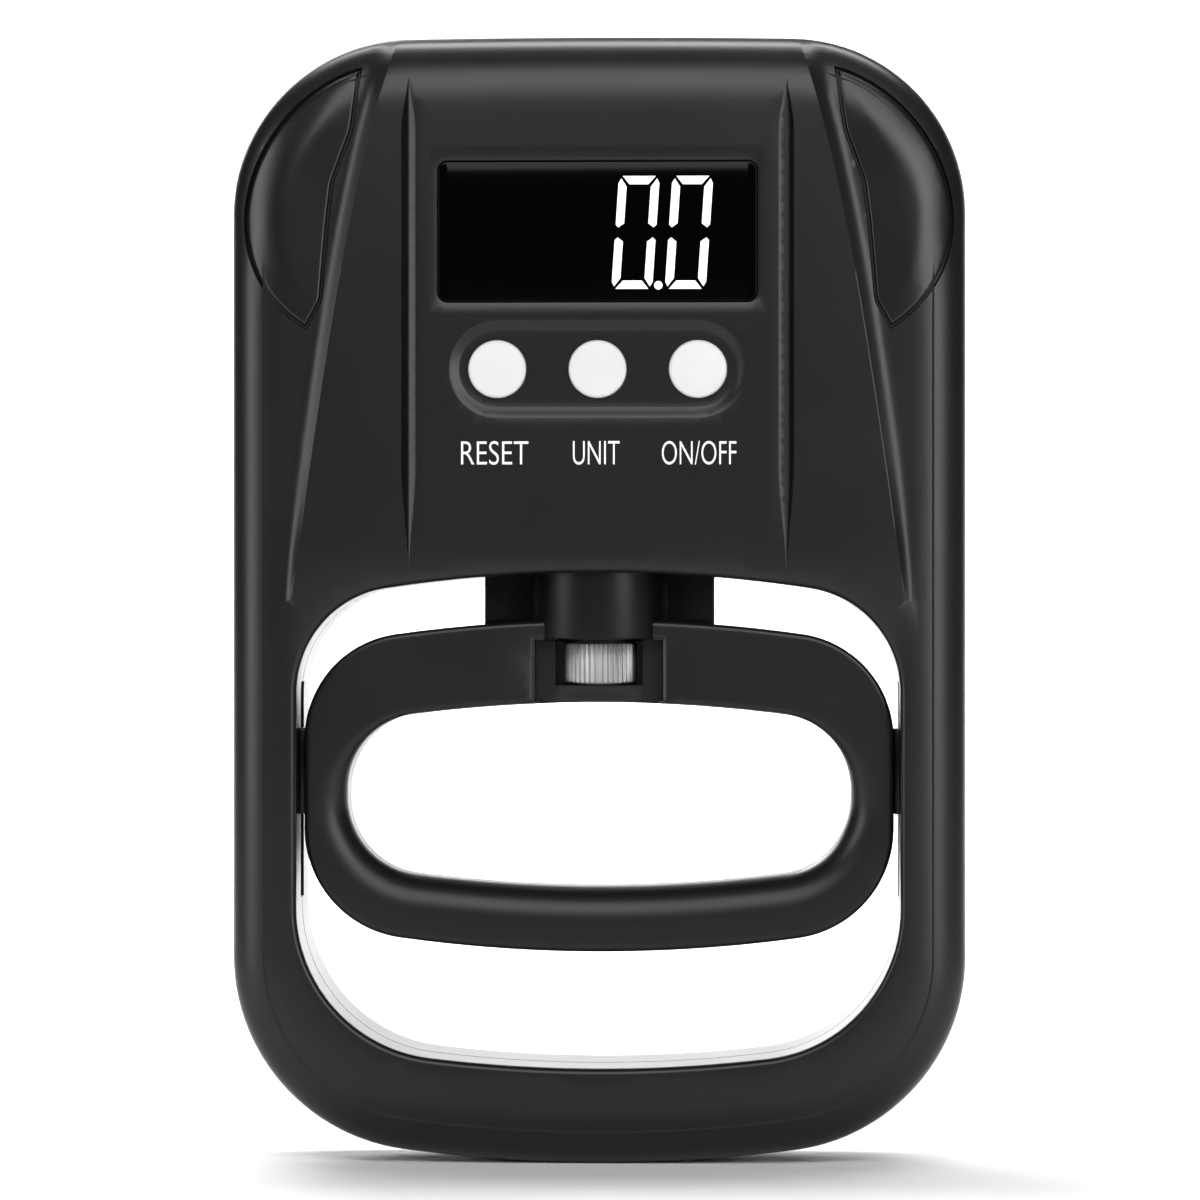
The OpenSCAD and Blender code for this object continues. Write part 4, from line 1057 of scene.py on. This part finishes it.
def battery_door():
    """Flap with soft edges, a row of grip ribs, an arrow and two hinge pins."""
    low, high = DOOR_LOW, DOOR_HIGH
    size = (2 * DOOR_HALF_W, DOOR_H, 0.6)
    rib = (15, 0.7, 0.34)
    ribs = [low[2] + 2.2 + 1.3 * i for i in range(4)]
    arrow = np.array([(0, low[2] + 8.4), (3.4, low[2] + 11.4), (-3.4, low[2] + 11.4)])
    outline = rounded_rect(*size, z=DOOR_Z)

    def depth(p):
        y = high[1] - rounding(depth_in(p, outline), 0.5, 0.45)
        for z in ribs:
            y -= 0.32 * smooth(-0.02, 0.3, depth_in(p, rounded_rect(*rib, z=z)))
        return y - 0.3 * smooth(-0.05, 0.25, depth_in(p, arrow))

    shell = Shell()
    loops = [rounded_rect(*size, z=DOOR_Z, d=-d) for d in (0.08, 0.2, 0.35, 0.5, 0.65)]
    for z in ribs:
        loops += [rounded_rect(*rib, z=z, d=-d, corner=6) for d in (-0.15, -0.02, 0.1, 0.22, 0.3)]
    loops += [offset(arrow, -d) for d in (-0.2, -0.05, 0.1, 0.25, 0.35)]
    shell.patch(outline, [], depth, loops)
    shell.strip(outline, depth(outline), outline, low[1])
    shell.patch(outline, [], low[1])
    obj = shell.build("door_flap")
    pin_y, pin_z = (low[1] + high[1]) / 2, high[2] - 0.9
    pins = turned("door_pins", corner_profile(0.5, low[0], high[0], 0.12, 3), "X", (pin_y, pin_z), n=24)
    place(pins, CASING, "door", "black_casing", "battery_door")
    return place(obj, CASING, "door", "black_casing", "battery_door")


BATTERY_BAND = 10.5             # length of the light band at the plus end of the jacket


def battery(name, side):
    """Round cell whose plus end points to +X for side 1 and to -X for side -1."""
    low, high = box_mm(name)
    cy, cz = (low[1] + high[1]) / 2, (low[2] + high[2]) / 2
    r = (high[2] - low[2]) / 2
    plus, minus = (high[0], low[0]) if side > 0 else (low[0], high[0])
    shoulder = plus - side * 0.8
    profile = [(0.01, plus), (1.75, plus), (1.9, plus - side * 0.15), (1.9, shoulder), (r - 0.9, shoulder),
               (r - 0.35, shoulder - side * 0.1), (r, shoulder - side * 0.45), (r, shoulder - side * BATTERY_BAND),
               (r, minus + side * 0.5), (r - 0.3, minus + side * 0.12), (r - 1, minus), (0.01, minus)]
    obj = turned(name + "_cell", profile, "X", (cy, cz), n=72)
    place(obj, JACKET, "frame", "battery_jacket", name)
    obj.data.materials.append(JACKET_BLACK)
    obj.data.materials.append(NICKEL)
    for face in obj.data.polygons:
        x = face.center.x / MM
        across = math.hypot(face.center.y / MM - cy, face.center.z / MM - cz)
        if across < r - 0.5:
            face.material_index = 2
        elif side * (shoulder - x) > BATTERY_BAND - 0.1:
            face.material_index = 1
    return obj


def finish_inner_nodes():
    """Materials for the CAD nodes that keep their own shape."""
    looks = {
        STEEL: "load_cell_bracket load_cell_bolts bracket_screws board_screws load_socket socket_washer socket_nut"
               " adjusting_screw",
        BRONZE: "wheel_bush thrust_washer", ALUMINIUM: "load_cell", RESIN: "strain_gauge_cover",
        NICKEL: "battery_springs battery_contacts", WIRE: "battery_wires load_cell_wires",
        ACETAL: "left_neck_guide right_neck_guide lcd_holder lcd_backlight",
        ZEBRA: "zebra_strip", BOARD: "main_board", LENS: "lcd_panel",
        CHIP: "processor_chip amplifier_chip reset_switch unit_switch power_switch"
              " reset_plunger unit_plunger power_plunger",
    }
    for mat, names in looks.items():
        for name in names.split():
            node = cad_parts[name]
            for slot in node.material_slots:
                slot.material = mat


# ---- stage, lights and camera

SWEEP_HALF_W = 2500
SWEEP_FRONT_Y, SWEEP_BEND_Y, SWEEP_BEND_R, SWEEP_TOP = -1800.0, 1100.0, 350, 2200


def studio():
    """Pale floor that curves up into a wall behind the object."""
    pale = material("studio_pale", (0.70, 0.70, 0.705), 0.7, grain=0.05, grain_scale=400, specular=0.2, wear=0.01)
    shell = Shell()
    w, r = SWEEP_HALF_W, SWEEP_BEND_R
    section = [(SWEEP_FRONT_Y, 0.0), (SWEEP_BEND_Y, 0.0)]
    section += [(SWEEP_BEND_Y + r * math.sin(a), r - r * math.cos(a)) for a in np.linspace(0, math.pi / 2, 24)[1:]]
    section.append((SWEEP_BEND_Y + r, SWEEP_TOP))
    for (y0, z0), (y1, z1) in zip(section, section[1:]):
        shell.face([(-w, y0, z0), (w, y0, z0), (w, y1, z1), (-w, y1, z1)])
    sweep = shell.build("studio_sweep", 60)
    dress(sweep, pale)


def aim(obj, where, target):
    obj.location = where
    obj.rotation_euler = (Vector(target) - Vector(where)).to_track_quat("-Z", "Y").to_euler()


def area_light(name, where, target, size, power, spread):
    """Rectangular light in metres and watts, aimed at target; spread is its cone in degrees."""
    data = bpy.data.lights.new(name, "AREA")
    data.shape = "RECTANGLE"
    data.size, data.size_y = size
    data.energy = power
    data.spread = math.radians(spread)
    aim(linked(name, data), where, target)


CENTRE = Vector((0, 0, TOP_Z / 2 * MM))


def from_angle(azimuth, elevation, away):
    """Point at an angle round the object's centre; azimuth 0 is in front and grows to the right."""
    a, e = math.radians(azimuth), math.radians(elevation)
    return CENTRE + Vector((math.sin(a) * math.cos(e), -math.cos(a) * math.cos(e), math.sin(e))) * away


def lights():
    area_light("top_softbox", from_angle(6, 35, 0.85), CENTRE + Vector((0, 0, 0.03)), (0.8, 0.46), 3.5, 150)
    area_light("left_strip", from_angle(-60, 8, 0.9), CENTRE, (0.26, 0.7), 2.2, 150)
    area_light("right_strip", from_angle(41, 8, 0.9), CENTRE, (0.32, 0.7), 2.9, 150)
    area_light("floor_light", (0, 0.28, 1.2), (0, 0.15, 0), (1.4, 0.3), 7.4, 110)
    area_light("backdrop_light", (0, 0.8, 1.3), (0, 1.15, 0.1), (2.2, 0.5), 34, 90)
    area_light("rear_fill", from_angle(205, 30, 1.1), CENTRE, (0.5, 0.5), 4.5, 150)
    world = bpy.data.worlds.new("studio")
    bpy.context.scene.world = world
    world.use_nodes = True
    world.node_tree.nodes["Background"].inputs["Color"].default_value = (1, 1, 1, 1)
    world.node_tree.nodes["Background"].inputs["Strength"].default_value = 0.06
    view = bpy.context.scene.view_settings
    view.view_transform = "Standard"
    view.look = "None"


CAMERA_AWAY = 0.9               # metres
CAMERA_SIDE = 1.7               # degrees to the right
CAMERA_LENS = 157               # millimetres on a 36 mm sensor


def camera():
    data = bpy.data.cameras.new("camera")
    data.sensor_width = 36
    data.lens = CAMERA_LENS
    obj = linked("camera", data)
    aim(obj, from_angle(CAMERA_SIDE, 0, CAMERA_AWAY), CENTRE)
    bpy.context.scene.camera = obj


camera()
studio()
lights()
finish_inner_nodes()
front_casing()
rear_casing()
for side in ("left", "right"):
    shoulder_insert(side)
lens()
digits()
for words, x, width in LABELS:
    label(words, x, width)
for name in BUTTONS:
    button(name)
handle_half(-1)
handle_half(1)
neck()
wheel()
guide_shoe(-1)
guide_shoe(1)
screws()
battery_door()
battery("upper_battery", 1)
battery("lower_battery", -1)
